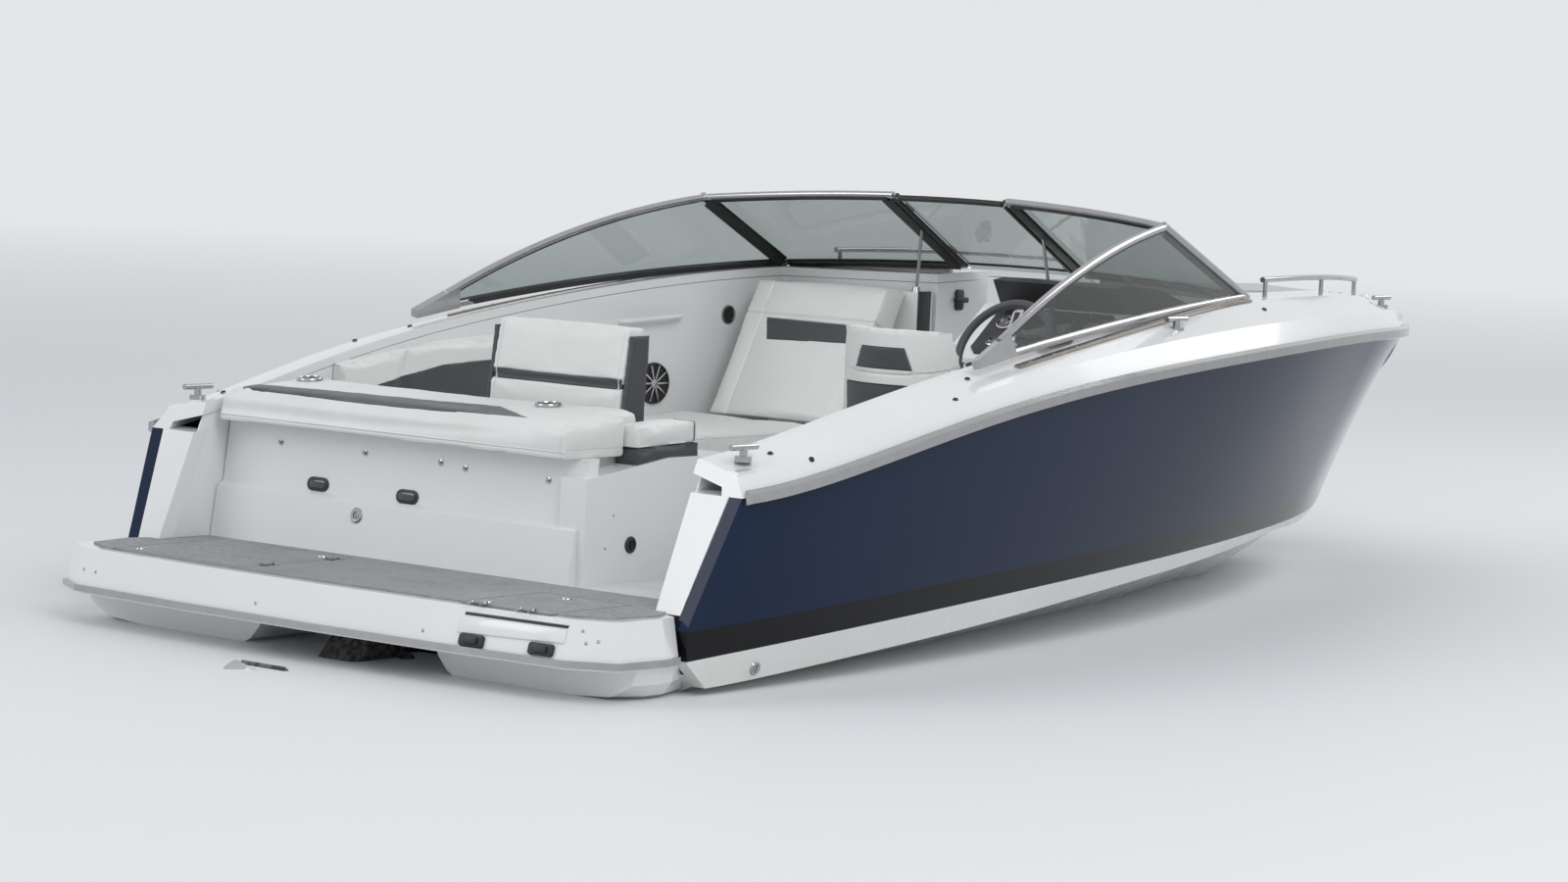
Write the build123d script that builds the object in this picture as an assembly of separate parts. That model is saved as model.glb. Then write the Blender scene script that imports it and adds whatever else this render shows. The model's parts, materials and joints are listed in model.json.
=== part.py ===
from build123d import *
from math import cos, degrees, radians, sin
import os

os.makedirs("parts", exist_ok=True)

# Frame: millimetres, +X to the bow, +Y to port, +Z up, z = 0 is the waterline.
# The origin is on the centreline below the aft edge of the swim platform.

# Stations of the hull, from aft to bow.
# x, keel z, chine y and z (inner edge), flat width of the chine, sheer y and z, bulge of the side
STATIONS = [
    (330, -425, 1070, 22, 50, 1135, 562, 10),
    (900, -408, 1086, 46, 54, 1258, 632, 14),
    (1500, -382, 1090, 86, 54, 1296, 754, 16),
    (2200, -346, 1062, 132, 52, 1302, 852, 16),
    (3000, -300, 984, 180, 48, 1272, 915, 12),
    (3700, -250, 858, 214, 44, 1195, 948, 4),
    (4300, -188, 700, 236, 40, 1070, 958, -6),
    (4800, -98, 520, 250, 34, 905, 952, -14),
    (5200, 48, 335, 268, 26, 688, 938, -14),
    (5540, 196, 165, 310, 16, 500, 922, -9),
    (5850, 425, 62, 468, 8, 328, 903, -4),
    (6150, 643, 22, 672, 4, 163, 884, -1),
    (6420, 840, 3, 842, 1, 14, 869, -0.5),
]

# Deck heights over the sheer: x, knuckle rise, inner edge rise, crown rise
DECK_RISE = [
    (330, 58, 92, 96),
    (900, 62, 96, 104),
    (1500, 72, 102, 112),
    (2200, 80, 114, 126),
    (3000, 88, 140, 158),
    (3700, 84, 142, 168),
    (4300, 74, 130, 158),
    (4800, 68, 120, 146),
    (5200, 64, 112, 136),
    (5540, 62, 106, 126),
    (5850, 60, 98, 114),
    (6150, 54, 84, 96),
    (6420, 34, 46, 50),
]

WALL = 40  # hull wall
DECK_WALL = 30  # deck wall
LINER_WALL = 22  # cockpit liner wall
SEAM = 0.3  # air between curved pieces that sit on one another
KNUCKLE_IN = 46  # knuckle inboard of the sheer
EDGE_IN = 190  # inner deck edge inboard of the sheer

TRANSOM_X = 500  # aft face of the hull bottom
PLATFORM_TOP = 235
MAT = 6
LEDGE_Z = 60  # top of the hull ledge that carries the platform
WALL_FOOT_X = 615  # foot of the transom wall
SOLE = 150
BOW_SOLE = 330
WALKWAY_Y = -520  # starboard face of the side box
PAD_BOTTOM = 612
SEAT_TOP = 430
CUSHION_TOP = 565


def out(shape, name):
    shape.label = name
    export_step(shape, "parts/" + name + ".step")


def poly_wire(points):
    edges = []
    for i in range(len(points)):
        edges.append(Edge.make_line(points[i], points[(i + 1) % len(points)]))
    return Wire(edges)


def box(x0, x1, y0, y1, z0, z1):
    b = Box(x1 - x0, y1 - y0, z1 - z0)
    return Pos((x0 + x1) / 2, (y0 + y1) / 2, (z0 + z1) / 2) * b


def pull(wire, direction):
    """Solid of a flat outline pulled along a direction."""
    face = Face(wire)
    way = Vector(*direction)
    if face.normal_at().dot(way) < 0:
        face = -face
    return Solid.extrude(face, way)


def prism_y(points, y0, y1):
    """Points (x, z) pulled along y."""
    return pull(poly_wire([Vector(x, y0, z) for x, z in points]), (0, y1 - y0, 0))


def prism_z(points, z0, z1):
    """Points (x, y) pulled along z."""
    return pull(poly_wire([Vector(x, y, z0) for x, y in points]), (0, 0, z1 - z0))


def prism_x(points, x0, x1):
    """Points (y, z) pulled along x."""
    return pull(poly_wire([Vector(x0, y, z) for y, z in points]), (x1 - x0, 0, 0))


def solid_of(edges, direction):
    return pull(Wire(edges), direction)


def rod(a, b, r):
    a = Vector(*a)
    b = Vector(*b)
    d = b - a
    return Solid.make_cylinder(r, d.length, Plane(origin=a, z_dir=d))


def ball(p, r):
    return Pos(*p) * Sphere(r)


def table(rows, x, column):
    """Straight-line reading of a table at x."""
    if x <= rows[0][0]:
        return rows[0][column]
    for a, b in zip(rows, rows[1:]):
        if x <= b[0]:
            t = (x - a[0]) / (b[0] - a[0])
            return a[column] + t * (b[column] - a[column])
    return rows[-1][column]


# Hull body as a loft of arc-sided sections
def hull_section(row, inset, top_up):
    x, kz, cy, cz, cf, sy, sz, sag = row
    k = (0, kz + inset * 1.15)
    ci = (max(cy - inset * 1.0, 1.5), cz + inset * 0.9)
    co = (max(cy + cf - inset, 2.5), cz + inset * 0.9 + 0.5)
    s = (max(sy - inset, 4.0), sz + top_up)
    lean = (sy - cy - cf) / max(sz - cz, 1)
    mid = ((co[0] + s[0]) / 2 + sag, (co[1] + s[1]) / 2 - sag * lean)
    pts = [Vector(x, y, z) for y, z in (k, ci, co, mid, s)]
    mir = [Vector(p.X, -p.Y, p.Z) for p in pts]
    edges = [
        Edge.make_line(pts[0], pts[1]),
        Edge.make_line(pts[1], pts[2]),
        Edge.make_three_point_arc(pts[2], pts[3], pts[4]),
        Edge.make_line(pts[4], mir[4]),
        Edge.make_three_point_arc(mir[4], mir[3], mir[2]),
        Edge.make_line(mir[2], mir[1]),
        Edge.make_line(mir[1], mir[0]),
    ]
    return Wire(edges)


def hull_loft(inset, top_up, first=0, last=len(STATIONS)):
    wires = [hull_section(r, inset, top_up) for r in STATIONS[first:last]]
    return Solid.make_loft(wires)


hull_outer = hull_loft(0, 0)
hull_inner = hull_loft(WALL, 60, 0, 11)
wing_room = hull_loft(WALL + 1, 60, 0, 4)
stringer_room = hull_loft(10, 0, 0, 5)

# Aft cut of the hull: slanted side edges, stepped in below the stripe
AFT_CUT = [(592, 720), (378, 197), (396, 100), (500, 18), (500, -600), (200, -600), (200, 720)]
aft_cut = prism_y(AFT_CUT, -1500, 1500)
ledge = box(300, 662, -1500, 1500, -600, LEDGE_Z)
room = hull_inner - ledge
hull_shell = hull_outer - room - aft_cut - box(300, TRANSOM_X, -1000, 1000, -5, 200)

# Boot stripe between two shallow arcs seen from the side
STRIPE_TOP = [(300, 188), (2840, 312), (6000, 306)]
STRIPE_LOW = [(300, 100), (2420, 220), (6000, 246)]


def below(arc):
    a, m, b = [Vector(x, -1600, z) for x, z in arc]
    lo_a = Vector(a.X, -1600, -900)
    lo_b = Vector(b.X + 700, -1600, -900)
    b2 = Vector(b.X + 700, -1600, b.Z)
    edges = [
        Edge.make_three_point_arc(a, m, b),
        Edge.make_line(b, b2),
        Edge.make_line(b2, lo_b),
        Edge.make_line(lo_b, lo_a),
        Edge.make_line(lo_a, a),
    ]
    return solid_of(edges, (0, 3200, 0))


under_top = below(STRIPE_TOP)
under_low = below(STRIPE_LOW)
hull_bottom = hull_shell & under_low
boot_stripe = (hull_shell & under_top) - under_low
hull_topsides = hull_shell - under_top


# Deck: outer loft less inner loft
def deck_section(i, drop, side_in, base):
    x, kz, cy, cz, cf, sy, sz, sag = STATIONS[i]
    rise = DECK_RISE[i]
    ny = sy - min(KNUCKLE_IN, 0.25 * sy)
    ey = sy - min(EDGE_IN, 0.55 * sy)
    a = (max(sy - side_in, 3), sz + base)
    n = (max(ny - side_in, 2), sz + rise[1] - drop)
    e = (max(ey - side_in * 0.8, 1), sz + rise[2] - drop)
    c = (0, sz + rise[3] - drop)
    half = [Vector(x, y, z) for y, z in (a, n, e)]
    mir = [Vector(p.X, -p.Y, p.Z) for p in half]
    pts = half + [Vector(x, *c)] + mir[::-1]
    return poly_wire(pts)


def deck_loft(drop, side_in, base, last=len(STATIONS)):
    return Solid.make_loft([deck_section(i, drop, side_in, base) for i in range(last)])


deck_outer = deck_loft(0, 0, SEAM)
deck_inner = deck_loft(DECK_WALL, WALL - 4, -80, 12)
under_deck = deck_loft(DECK_WALL + 2, WALL, -900, 12)


# Plan of the openings: half width by three points of an arc
def arc_plan(p0, p1, p2, grow, x0, x1, z0, z1):
    """Symmetric plan with arc sides between x0 and x1."""
    a, m, b = [Vector(x, y + grow, z0) for x, y in (p0, p1, p2)]
    am, mm, bm = [Vector(p.X, -p.Y, p.Z) for p in (a, m, b)]
    edges = [
        Edge.make_three_point_arc(a, m, b),
        Edge.make_line(b, bm),
        Edge.make_three_point_arc(bm, mm, am),
        Edge.make_line(am, a),
    ]
    s = solid_of(edges, (0, 0, z1 - z0))
    return s & box(x0, x1, -1600, 1600, z0, z1)


COCKPIT = ((200, 950), (1900, 1072), (3600, 915))
COCKPIT_AFT = 745
COCKPIT_END = 3440
BOW = ((3300, 860), (4500, 655), (5500, 180))
BOW_START = 3760
BOW_END = 5260
BOW_SEAT = 560
BOW_WELL = [(3755, -250), (4600, -250), (4950, -120), (4950, 120), (4600, 250), (3755, 250)]
BOW_WELL_OUT = [(3738, -272), (4612, -272), (4972, -130), (4972, 130), (4612, 272), (3738, 272)]
WALK = (-275, 235)
HIGH = 1500

cockpit_hole = arc_plan(*COCKPIT, 0, 201, COCKPIT_END, SEAT_TOP, HIGH)
bow_hole = arc_plan(*BOW, 0, BOW_START, BOW_END, BOW_SEAT, HIGH)
walk_hole = box(COCKPIT_END - 5, BOW_START + 5, WALK[0], WALK[1], SEAT_TOP, HIGH)
deck = deck_outer - deck_inner - aft_cut
deck = deck - cockpit_hole - bow_hole - walk_hole
deck = deck - box(200, 520, -1500, 1500, 0, 1500)

# Anchor locker lid cut out of the foredeck
LID = [(5500, -150), (5500, 150), (5800, 75), (5800, -75)]
LID_FREE = [(5505, -144), (5505, 144), (5795, 71), (5795, -71)]
anchor_lid = (deck & prism_z(LID_FREE, 900, 1300))
deck = deck - prism_z(LID, 900, 1300)

# Cockpit liner: one moulding of seat ledges, foot wells and walls
WELL = [
    (1200, -960), (1700, -960), (2150, -895), (3000, -715), (3440, -570), (3440, WALK[0]),
    (3782, WALK[0]), (3782, WALK[1]), (3330, WALK[1]), (3330, 330), (1745, 330), (1745, -330), (1200, -330),
]
WELL_OUT = [
    (1178, -982), (1704, -982), (2155, -917), (3008, -737), (3462, -592), (3462, WALK[0] - 22),
    (3782, WALK[0] - 22), (3782, WALK[1] + 22), (3352, WALK[1] + 22), (3352, 352), (1723, 352),
    (1723, -308), (1178, -308),
]
up_out = arc_plan(*COCKPIT, LINER_WALL, COCKPIT_AFT, COCKPIT_END + LINER_WALL, SEAT_TOP - LINER_WALL, 1400)
walk_out = box(COCKPIT_END, BOW_START, WALK[0] - 22, WALK[1] + 22, SEAT_TOP - 22, 1400)
bow_out = arc_plan(*BOW, LINER_WALL, BOW_START - LINER_WALL, BOW_END + LINER_WALL, BOW_SEAT - LINER_WALL, 1400)
liner = (up_out + walk_out + bow_out) & under_deck
liner = liner + prism_z(WELL_OUT, SOLE - LINER_WALL, SEAT_TOP) + box(662, 1200, -982, WALKWAY_Y, PLATFORM_TOP - 22, SEAT_TOP)
liner = liner - arc_plan(*COCKPIT, 0, COCKPIT_AFT - 10, COCKPIT_END, SEAT_TOP, HIGH)
liner = liner + prism_z(BOW_WELL_OUT, BOW_SOLE - LINER_WALL, BOW_SEAT)
liner = liner - walk_hole - bow_hole - prism_z(BOW_WELL, BOW_SOLE, HIGH)
liner = liner - prism_z(WELL, SOLE, HIGH) - box(650, 1210, -960, WALKWAY_Y, PLATFORM_TOP, HIGH)
liner = liner - box(700, 1178, WALKWAY_Y - 1, -415, 300, 500)


# Swim platform moulding: half plans from the forward end to the centreline
RIM_Z = 118  # widest line, where the rail runs
RAIL_Z = (104, 124)
RIM = [(372, 1120), (300, 1140), (110, 1118), (35, 985), (8, 500), (0, 0)]
RIM_TOP = [(372, 1096), (300, 1114), (124, 1092), (68, 968), (40, 495), (32, 0)]
RIM_LOW = [(372, 1112), (300, 1132), (118, 1108), (46, 978), (20, 495), (14, 0)]
SLAB_Z = 96
POD_PLANS = [
    (SLAB_Z, [(498, 345), (498, 1050), (372, 1108), (300, 1128), (124, 1102), (52, 972), (32, 345)]),
    (50, [(498, 365), (498, 1050), (372, 1100), (300, 1112), (150, 1084), (92, 950), (84, 365)]),
    (12, [(498, 400), (498, 1030), (372, 1070), (300, 1070), (200, 1020), (160, 900), (155, 400)]),
    (-14, [(498, 450), (498, 990), (372, 1010), (310, 1000), (260, 940), (245, 850), (240, 450)]),
]


def both_sides(half):
    return half + [(x, -y) for x, y in half[::-1] if y != 0]


def plan_loft(rows):
    """Ruled solid through plans at several heights."""
    return Solid.make_loft([poly_wire([Vector(x, y, z) for x, y in plan]) for z, plan in rows], ruled=True)


slab = plan_loft([(SLAB_Z, both_sides(RIM_LOW)), (RIM_Z, both_sides(RIM)), (PLATFORM_TOP, both_sides(RIM_TOP))])
root = prism_z([(660, 1040), (371, 1060), (371, -1060), (660, -1040)], LEDGE_Z, PLATFORM_TOP)
pod = plan_loft(POD_PLANS[::-1])
pods = (pod + pod.mirror(Plane.XZ)) & aft_cut
TUNNEL = (92, 640, -330, 330, 0, 175)
swim_platform = slab + root + pods - box(*TUNNEL) - hull_shell

# Rail around the platform's rim
RAIL_OUT = 9
rail_outer = prism_z(both_sides([(372, 1129), (300, 1149), (104, 1126), (26, 990), (-1, 502), (-9, 0)]), *RAIL_Z)
rail_inner = prism_z(both_sides([(372, 1121), (300, 1141), (109, 1119), (34, 986), (7, 501), (-1, 0)]), 90, 140)
platform_rail = rail_outer - rail_inner

# Hatch and fold-down step in the platform
HATCH = (95, 560, 330, 900)
STEP = (64, 430, -900, -560)
HATCH_T = 30
PANEL_GAP = 6
LIP = 25  # ledge that a closed panel rests on


def panel_box(p, z0, z1, g):
    return box(p[0] + g, p[1] - g, p[2] + g, p[3] - g, z0, z1)


MAT_TOP = PLATFORM_TOP + MAT
RECESS_Z = PLATFORM_TOP - HATCH_T
swim_platform = swim_platform - panel_box(HATCH, RECESS_Z, MAT_TOP, 0) - panel_box(HATCH, 120, MAT_TOP, LIP)
swim_platform = swim_platform - panel_box(STEP, RECESS_Z, MAT_TOP, 0)
platform_hatch = panel_box(HATCH, RECESS_Z + SEAM, MAT_TOP, PANEL_GAP)
swim_step = panel_box(STEP, RECESS_Z + SEAM, MAT_TOP, PANEL_GAP)
MAT_PLAN = both_sides([(604, 1000), (430, 1010), (400, 1045), (330, 1080), (160, 1052), (100, 950), (76, 490), (70, 0)])
platform_mat = prism_z(MAT_PLAN, PLATFORM_TOP, MAT_TOP)
platform_mat = platform_mat - panel_box(HATCH, RECESS_Z, MAT_TOP + 1, 0) - panel_box(STEP, RECESS_Z, MAT_TOP + 1, 0)
platform_mat = platform_mat - hull_shell

# Barrel hinges: x along the pin, y to the moving side, z away from the surface
BARREL_R = 5
HINGE_PIN_R = 2.5
PIN_PLAY = 0.06
SLEEVE = 36
KNUCKLE = 8
LEAF = 26
LEAF_T = 2.5


def pin_x(r, length, x=0):
    return Pos(x, 0, 0) * Rot(0, 90, 0) * Cylinder(r, length)


def barrel_hinge(origin, x_dir, z_dir=(0, 0, 1), leaf=LEAF, drop=BARREL_R, foot=0):
    """Fixed and moving halves of one hinge; foot is how far the fixed leaves reach down."""
    place = Plane(origin=origin, x_dir=x_dir, z_dir=z_dir).location
    step = SLEEVE / 2 + 1 + KNUCKLE / 2
    fixed = pin_x(HINGE_PIN_R, 2 * step + KNUCKLE)
    for x in (-step, step):
        fixed = fixed + pin_x(BARREL_R, KNUCKLE, x)
        fixed = fixed + box(x - KNUCKLE / 2, x + KNUCKLE / 2, -leaf, 0, -drop - foot, -BARREL_R + LEAF_T)
    moving = pin_x(BARREL_R, SLEEVE) + box(-SLEEVE / 2, SLEEVE / 2, 0, leaf, -drop, -BARREL_R + LEAF_T)
    moving = moving - pin_x(HINGE_PIN_R + PIN_PLAY, SLEEVE + 2)
    return place * fixed, place * moving


hinge_fittings = []
for x in (190, 470):
    fixed, moving = barrel_hinge((x, HATCH[2], MAT_TOP + BARREL_R), (1, 0, 0))
    hinge_fittings.append(fixed)
    platform_hatch = platform_hatch + moving
for y in (-820, -640):
    fixed, moving = barrel_hinge((STEP[0], y, MAT_TOP + BARREL_R), (0, -1, 0))
    hinge_fittings.append(fixed)
    swim_step = swim_step + moving

# Transom wall with the side box
WALL_PROFILE = [(WALL_FOOT_X, PLATFORM_TOP), (640, 400), (665, 415), (690, PAD_BOTTOM), (740, PAD_BOTTOM),
                (715, 415), (690, 380), (665, PLATFORM_TOP)]
WALL_ENDS = (WALKWAY_Y + 30, 1008)
BOX_TOP = (556, 606)  # aft and forward heights of the side box
SHELF_END = 1178
SHELF_T = 40
transom_wall = prism_y(WALL_PROFILE, *WALL_ENDS)
side_box = prism_y([(650, PLATFORM_TOP), (SHELF_END, PLATFORM_TOP), (SHELF_END, BOX_TOP[1]), (1030, BOX_TOP[1]),
                    (650, BOX_TOP[0])], WALKWAY_Y, -418)
shelf = box(715, SHELF_END, -418, 900, PAD_BOTTOM - SHELF_T, PAD_BOTTOM)
transom_wall = transom_wall + side_box + shelf

# White returns between the hull sides and the wall, along the slanted aft edges
WING_T = 60
WING_IN = 1010
wing_profile = [(x + d, z) for d in (0.5, WING_T) for x, z in ((580, 690), (393, 235.5))]
wing_strip = prism_y([wing_profile[0], wing_profile[1], wing_profile[3], wing_profile[2]], -1400, 1400)
transom_wings = (wing_strip & wing_room) - box(200, 900, -WING_IN, WING_IN, 0, 900) - deck_outer
transom_wings = transom_wings - platform_mat

# Lounge pad on the wall
PAD_ROUND = 22
PAD_Y = (-470, 985)
pad_profile = [(606, PAD_BOTTOM + SEAM), (1008, PAD_BOTTOM + SEAM), (1012, 742), (640, 712), (602, 690)]
transom_pad = prism_y(pad_profile, *PAD_Y) - box(884, 1100, -480, -414, 560, 800)
transom_pad = fillet(transom_pad.edges().filter_by(Axis.Y).group_by(Axis.Z)[-1], PAD_ROUND)
box_slope = (BOX_TOP[1] - BOX_TOP[0]) / (1030 - 650)
plinth_low = BOX_TOP[0] + box_slope * (884 - 650)
box_plinth = prism_y([(884, plinth_low), (1030, BOX_TOP[1]), (1178, BOX_TOP[1]), (1178, 650), (884, 640)], -516, -422)
aft_bolster = prism_y([(884, 640), (1178, 650), (1172, 716), (892, 704)], -514, -424)
aft_bolster = fillet(aft_bolster.edges().group_by(Axis.Z)[-1], 18)

# Engine on two stringers
ENGINE_BASE = -180
engine_block = box(750, 1500, -300, 300, ENGINE_BASE, 395)
STRINGERS = [(195, 235), (-235, -195)]
for y0, y1 in STRINGERS:
    hull_bottom = hull_bottom + (box(700, 1600, y0, y1, -500, ENGINE_BASE) & stringer_room)

# Seats
PAD_GAP = 8
SEAT_ROUND = 24


def top_round(solid, r):
    """Rounds the uppermost edges."""
    return fillet(solid.edges().group_by(Axis.Z)[-1], r)


def cushion(plan, x0, x1, y0, y1, z0, z1):
    return top_round(arc_plan(*plan, -PAD_GAP, x0, x1, z0, z1) & box(x0, x1, y0, y1, z0, z1), SEAT_ROUND)


aft_seat_cushion = cushion(COCKPIT, 1185, 1735, -325, 1500, SEAT_TOP, CUSHION_TOP)
port_lounge_cushion = cushion(COCKPIT, 1745, 2940, 335, 1500, SEAT_TOP, CUSHION_TOP)
bow_cushions = arc_plan(*BOW, -PAD_GAP, BOW_START + PAD_GAP, BOW_END - PAD_GAP, BOW_SEAT, BOW_SEAT + 90)
bow_cushions = top_round(bow_cushions - prism_z(BOW_WELL, BOW_SEAT - 5, BOW_SEAT + 200), 18)

# Flip backrest of the aft seat on its two arms
BACKREST_Y = (-300, 235)
aft_backrest = prism_y([(1050, 800), (1150, 800), (1166, 985), (1084, 985)], *BACKREST_Y)
aft_backrest = fillet(aft_backrest.edges().filter_by(Axis.Y), 20)
low_back = prism_y([(1038, 672), (1136, 672), (1148, 796), (1048, 796)], *BACKREST_Y)
aft_backrest = Compound([aft_backrest, fillet(low_back.edges().filter_by(Axis.Y), 16)])
arm_profile = [(1040, PAD_BOTTOM), (1150, PAD_BOTTOM), (1150, 640), (1164, 960), (1080, 960), (1040, 660)]
backrest_arms = Compound([
    prism_y(arm_profile, BACKREST_Y[0] - 16.3, BACKREST_Y[0] - 0.3),
    prism_y(arm_profile, BACKREST_Y[1] + 0.3, BACKREST_Y[1] + 16.3),
])

# Pads along the port coaming
COAMING_CLIP = [(1190, 610), (2030, 610), (2110, 740), (2160, 866), (1700, 836), (1190, 776)]
PAD_T = 32
coaming_pads = arc_plan(*COCKPIT, -SEAM, 1150, 2200, 560, 900) - arc_plan(*COCKPIT, -PAD_T, 1150, 2200, 560, 900)
coaming_pads = coaming_pads & prism_y(COAMING_CLIP, 500, 1300)

# Companion seat back, consoles and dash
CONSOLE_X = 3335
CONSOLE_TOP = 1035
companion_backrest = prism_y([(2950, CUSHION_TOP + SEAM), (3105, CUSHION_TOP + SEAM), (CONSOLE_X - SEAM, 1034),
                              (3212, 1050)], 290, 880)
companion_backrest = fillet(companion_backrest.edges().filter_by(Axis.Y).group_by(Axis.Z)[-1], 20)
port_console = box(CONSOLE_X, 3430, 245, 895, SEAT_TOP, CONSOLE_TOP)
helm_console = prism_y([(2790, SEAT_TOP), (3430, SEAT_TOP), (3430, CONSOLE_TOP), (2990, CONSOLE_TOP), (2760, 860)],
                       -895, -290)
helm_foot = prism_z([(2790, -290), (2790, -740), (3430, -560), (3430, -290)], SOLE, SEAT_TOP)
helm_console = helm_console + helm_foot
VISOR_Y = (-860, -360)
dash_visor = prism_y([(2985, CONSOLE_TOP), (3420, CONSOLE_TOP), (3400, 1060), (3180, 1118), (2990, 1132),
                      (2930, 1122)], *VISOR_Y)
PEDESTAL_TOP = 450
helm_seat_pedestal = Pos(2080, -700, SOLE) * Cylinder(60, PEDESTAL_TOP - SOLE,
                                                      align=(Align.CENTER, Align.CENTER, Align.MIN))

# Helm seat: base cushion and a wrap-around back
SEAT_C = (2060, -700)
SEAT_HALF = 250
BACK_R = (270, 205)
BACK_END = 62  # forward of the seat's middle
seat_base = box(1880, 2330, SEAT_C[1] - SEAT_HALF, SEAT_C[1] + SEAT_HALF, PEDESTAL_TOP + SEAM, 590)
seat_base = top_round(seat_base, 30)


def half_ring(r, z):
    a = Vector(SEAT_C[0] + BACK_END, SEAT_C[1] - r, z)
    m = Vector(SEAT_C[0] - r * 0.86, SEAT_C[1], z)
    b = Vector(SEAT_C[0] + BACK_END, SEAT_C[1] + r, z)
    return solid_of([Edge.make_three_point_arc(a, m, b), Edge.make_line(b, a)], (0, 0, 500))


back = (half_ring(BACK_R[0], 520) - half_ring(BACK_R[1], 520))
back_side = prism_y([(1700, 520), (2160, 520), (2120, 640), (1990, 780), (1935, 1000), (1700, 1000)], -1100, -300)
back = back & back_side
helm_seat = seat_base + back

# Steering wheel on its sloping column
WHEEL = (2520, -700, 915)
WHEEL_TILT = 30
WHEEL_R = 172
WHEEL_SHAFT_R = 9
HUB_R = 30
wheel_plane = Plane(origin=WHEEL, z_dir=(-cos(radians(WHEEL_TILT)), 0, sin(radians(WHEEL_TILT))))
steering_wheel = Torus(WHEEL_R, 15) + Pos(0, 0, -28) * Cylinder(HUB_R, 56)
for turn in (90, 210, 330):
    spoke = box(HUB_R - 8, WHEEL_R, -16, 16, -10, -3)
    steering_wheel = steering_wheel + Rot(0, 0, turn) * spoke
steering_wheel = steering_wheel - Pos(0, 0, -40) * Cylinder(WHEEL_SHAFT_R + PIN_PLAY, 50)
steering_wheel = wheel_plane.location * steering_wheel
helm_column = Pos(0, 0, -62 - 130) * Cylinder(38, 260) + Pos(0, 0, -45) * Cylinder(WHEEL_SHAFT_R, 56)
helm_column = wheel_plane.location * helm_column - helm_console

# Windshield
W_AFT = (1715, 1165, 925)
W_MID_TOP = (2420, 1075, 1210)
W_CORNER_TOP = (3016, 983, 1335)
W_FRONT_TOP = (3170, 0, 1385)
W_MID_BASE = (2560, 1118, 1030)
W_CORNER_BASE = (3519, 1000, 1100)
W_FRONT_BASE = (3640, 0, 1135)
RAIL_R = 13
POST_R = 15.5
POST_CAP_R = 5


def mirror_pt(p):
    return (p[0], -p[1], p[2])


def arc_edge(a, m, b):
    return Edge.make_three_point_arc(Vector(*a), Vector(*m), Vector(*b))


def pipe(edge, r):
    """Round rail along an arc: a circle turned about the arc's own axis."""
    start = edge.position_at(0)
    middle = edge.arc_center
    axis = (start - middle).cross(edge.position_at(0.5) - middle)
    plane = Plane(origin=start, z_dir=edge.tangent_at(0))
    angle = degrees(edge.length / (start - middle).length)
    return Solid.revolve(Face(Wire.make_circle(r, plane)), angle, Axis(middle, axis))


top_side = arc_edge(W_AFT, W_MID_TOP, W_CORNER_TOP)
base_side = arc_edge(W_AFT, W_MID_BASE, W_CORNER_BASE)
top_front = arc_edge(W_CORNER_TOP, W_FRONT_TOP, mirror_pt(W_CORNER_TOP))
base_front = arc_edge(W_CORNER_BASE, W_FRONT_BASE, mirror_pt(W_CORNER_BASE))

# Share of the front arcs where each upright stands, from port to starboard
MULLION_T = 0.37
DOOR_T = 0.3845
RAIL_STOP_T = 0.378
MULLION_R = 12
DOOR_BAR_R = 9


def part_of(edge, t0, t1):
    a, m, b = [edge.position_at(t) for t in (t0, (t0 + t1) / 2, t1)]
    return Edge.make_three_point_arc(a, m, b)


def tail_casting(edge_a, edge_b, t, half):
    """Wedge that joins two rails where they run together."""
    start = edge_a.position_at(0)
    a = edge_a.position_at(t) - start
    b = edge_b.position_at(t) - start
    ahead = (a + b).normalized()
    flat = a.cross(b).normalized()
    up = flat.cross(ahead)
    far = max(a.dot(ahead), b.dot(ahead)) + 10
    heights = sorted([a.dot(up), b.dot(up)])
    outline = [(-TAIL_TIP, -half), (far, heights[0] - half), (far, heights[1] + half), (-TAIL_TIP, half)]
    base = start - flat * half
    wire = poly_wire([base + ahead * u + up * v for u, v in outline])
    return pull(wire, tuple(flat * 2 * half))


TAIL_T = 0.1
TAIL_TIP = 18
tail = tail_casting(top_side, base_side, TAIL_T, RAIL_R + 1)
side_parts = pipe(part_of(top_side, TAIL_T, 1), RAIL_R) + tail + pipe(part_of(base_side, TAIL_T, 1), RAIL_R)
post_end = (Vector(*W_CORNER_TOP) - Vector(*W_CORNER_BASE)).normalized() * POST_R
post = rod(Vector(*W_CORNER_TOP) + post_end, Vector(*W_CORNER_BASE) - post_end, POST_R)
post = post.fillet(POST_CAP_R, [e for e in post.edges() if e.geom_type == GeomType.CIRCLE])
side_parts = side_parts + post
for arc in (top_front, base_front):
    side_parts = side_parts + pipe(part_of(arc, 0, RAIL_STOP_T), RAIL_R)
upright = rod(top_front.position_at(MULLION_T), base_front.position_at(MULLION_T), MULLION_R)
side_parts = side_parts + upright
windshield_frame = side_parts - deck_outer
windshield_frame = windshield_frame + windshield_frame.mirror(Plane.XZ)


def pane(top, base, t0, t1, n, thick, inset=0):
    wires = []
    for i in range(n + 1):
        t = t0 + (t1 - t0) * i / n
        a = top.position_at(t)
        b = base.position_at(t)
        down = (b - a).normalized() * inset
        side = top.tangent_at(t).cross(b - a).normalized() * (thick / 2)
        a = a + down
        b = b - down
        wires.append(poly_wire([a + side, b + side, b - side, a - side]))
    return Solid.make_loft(wires, ruled=True)


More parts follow.
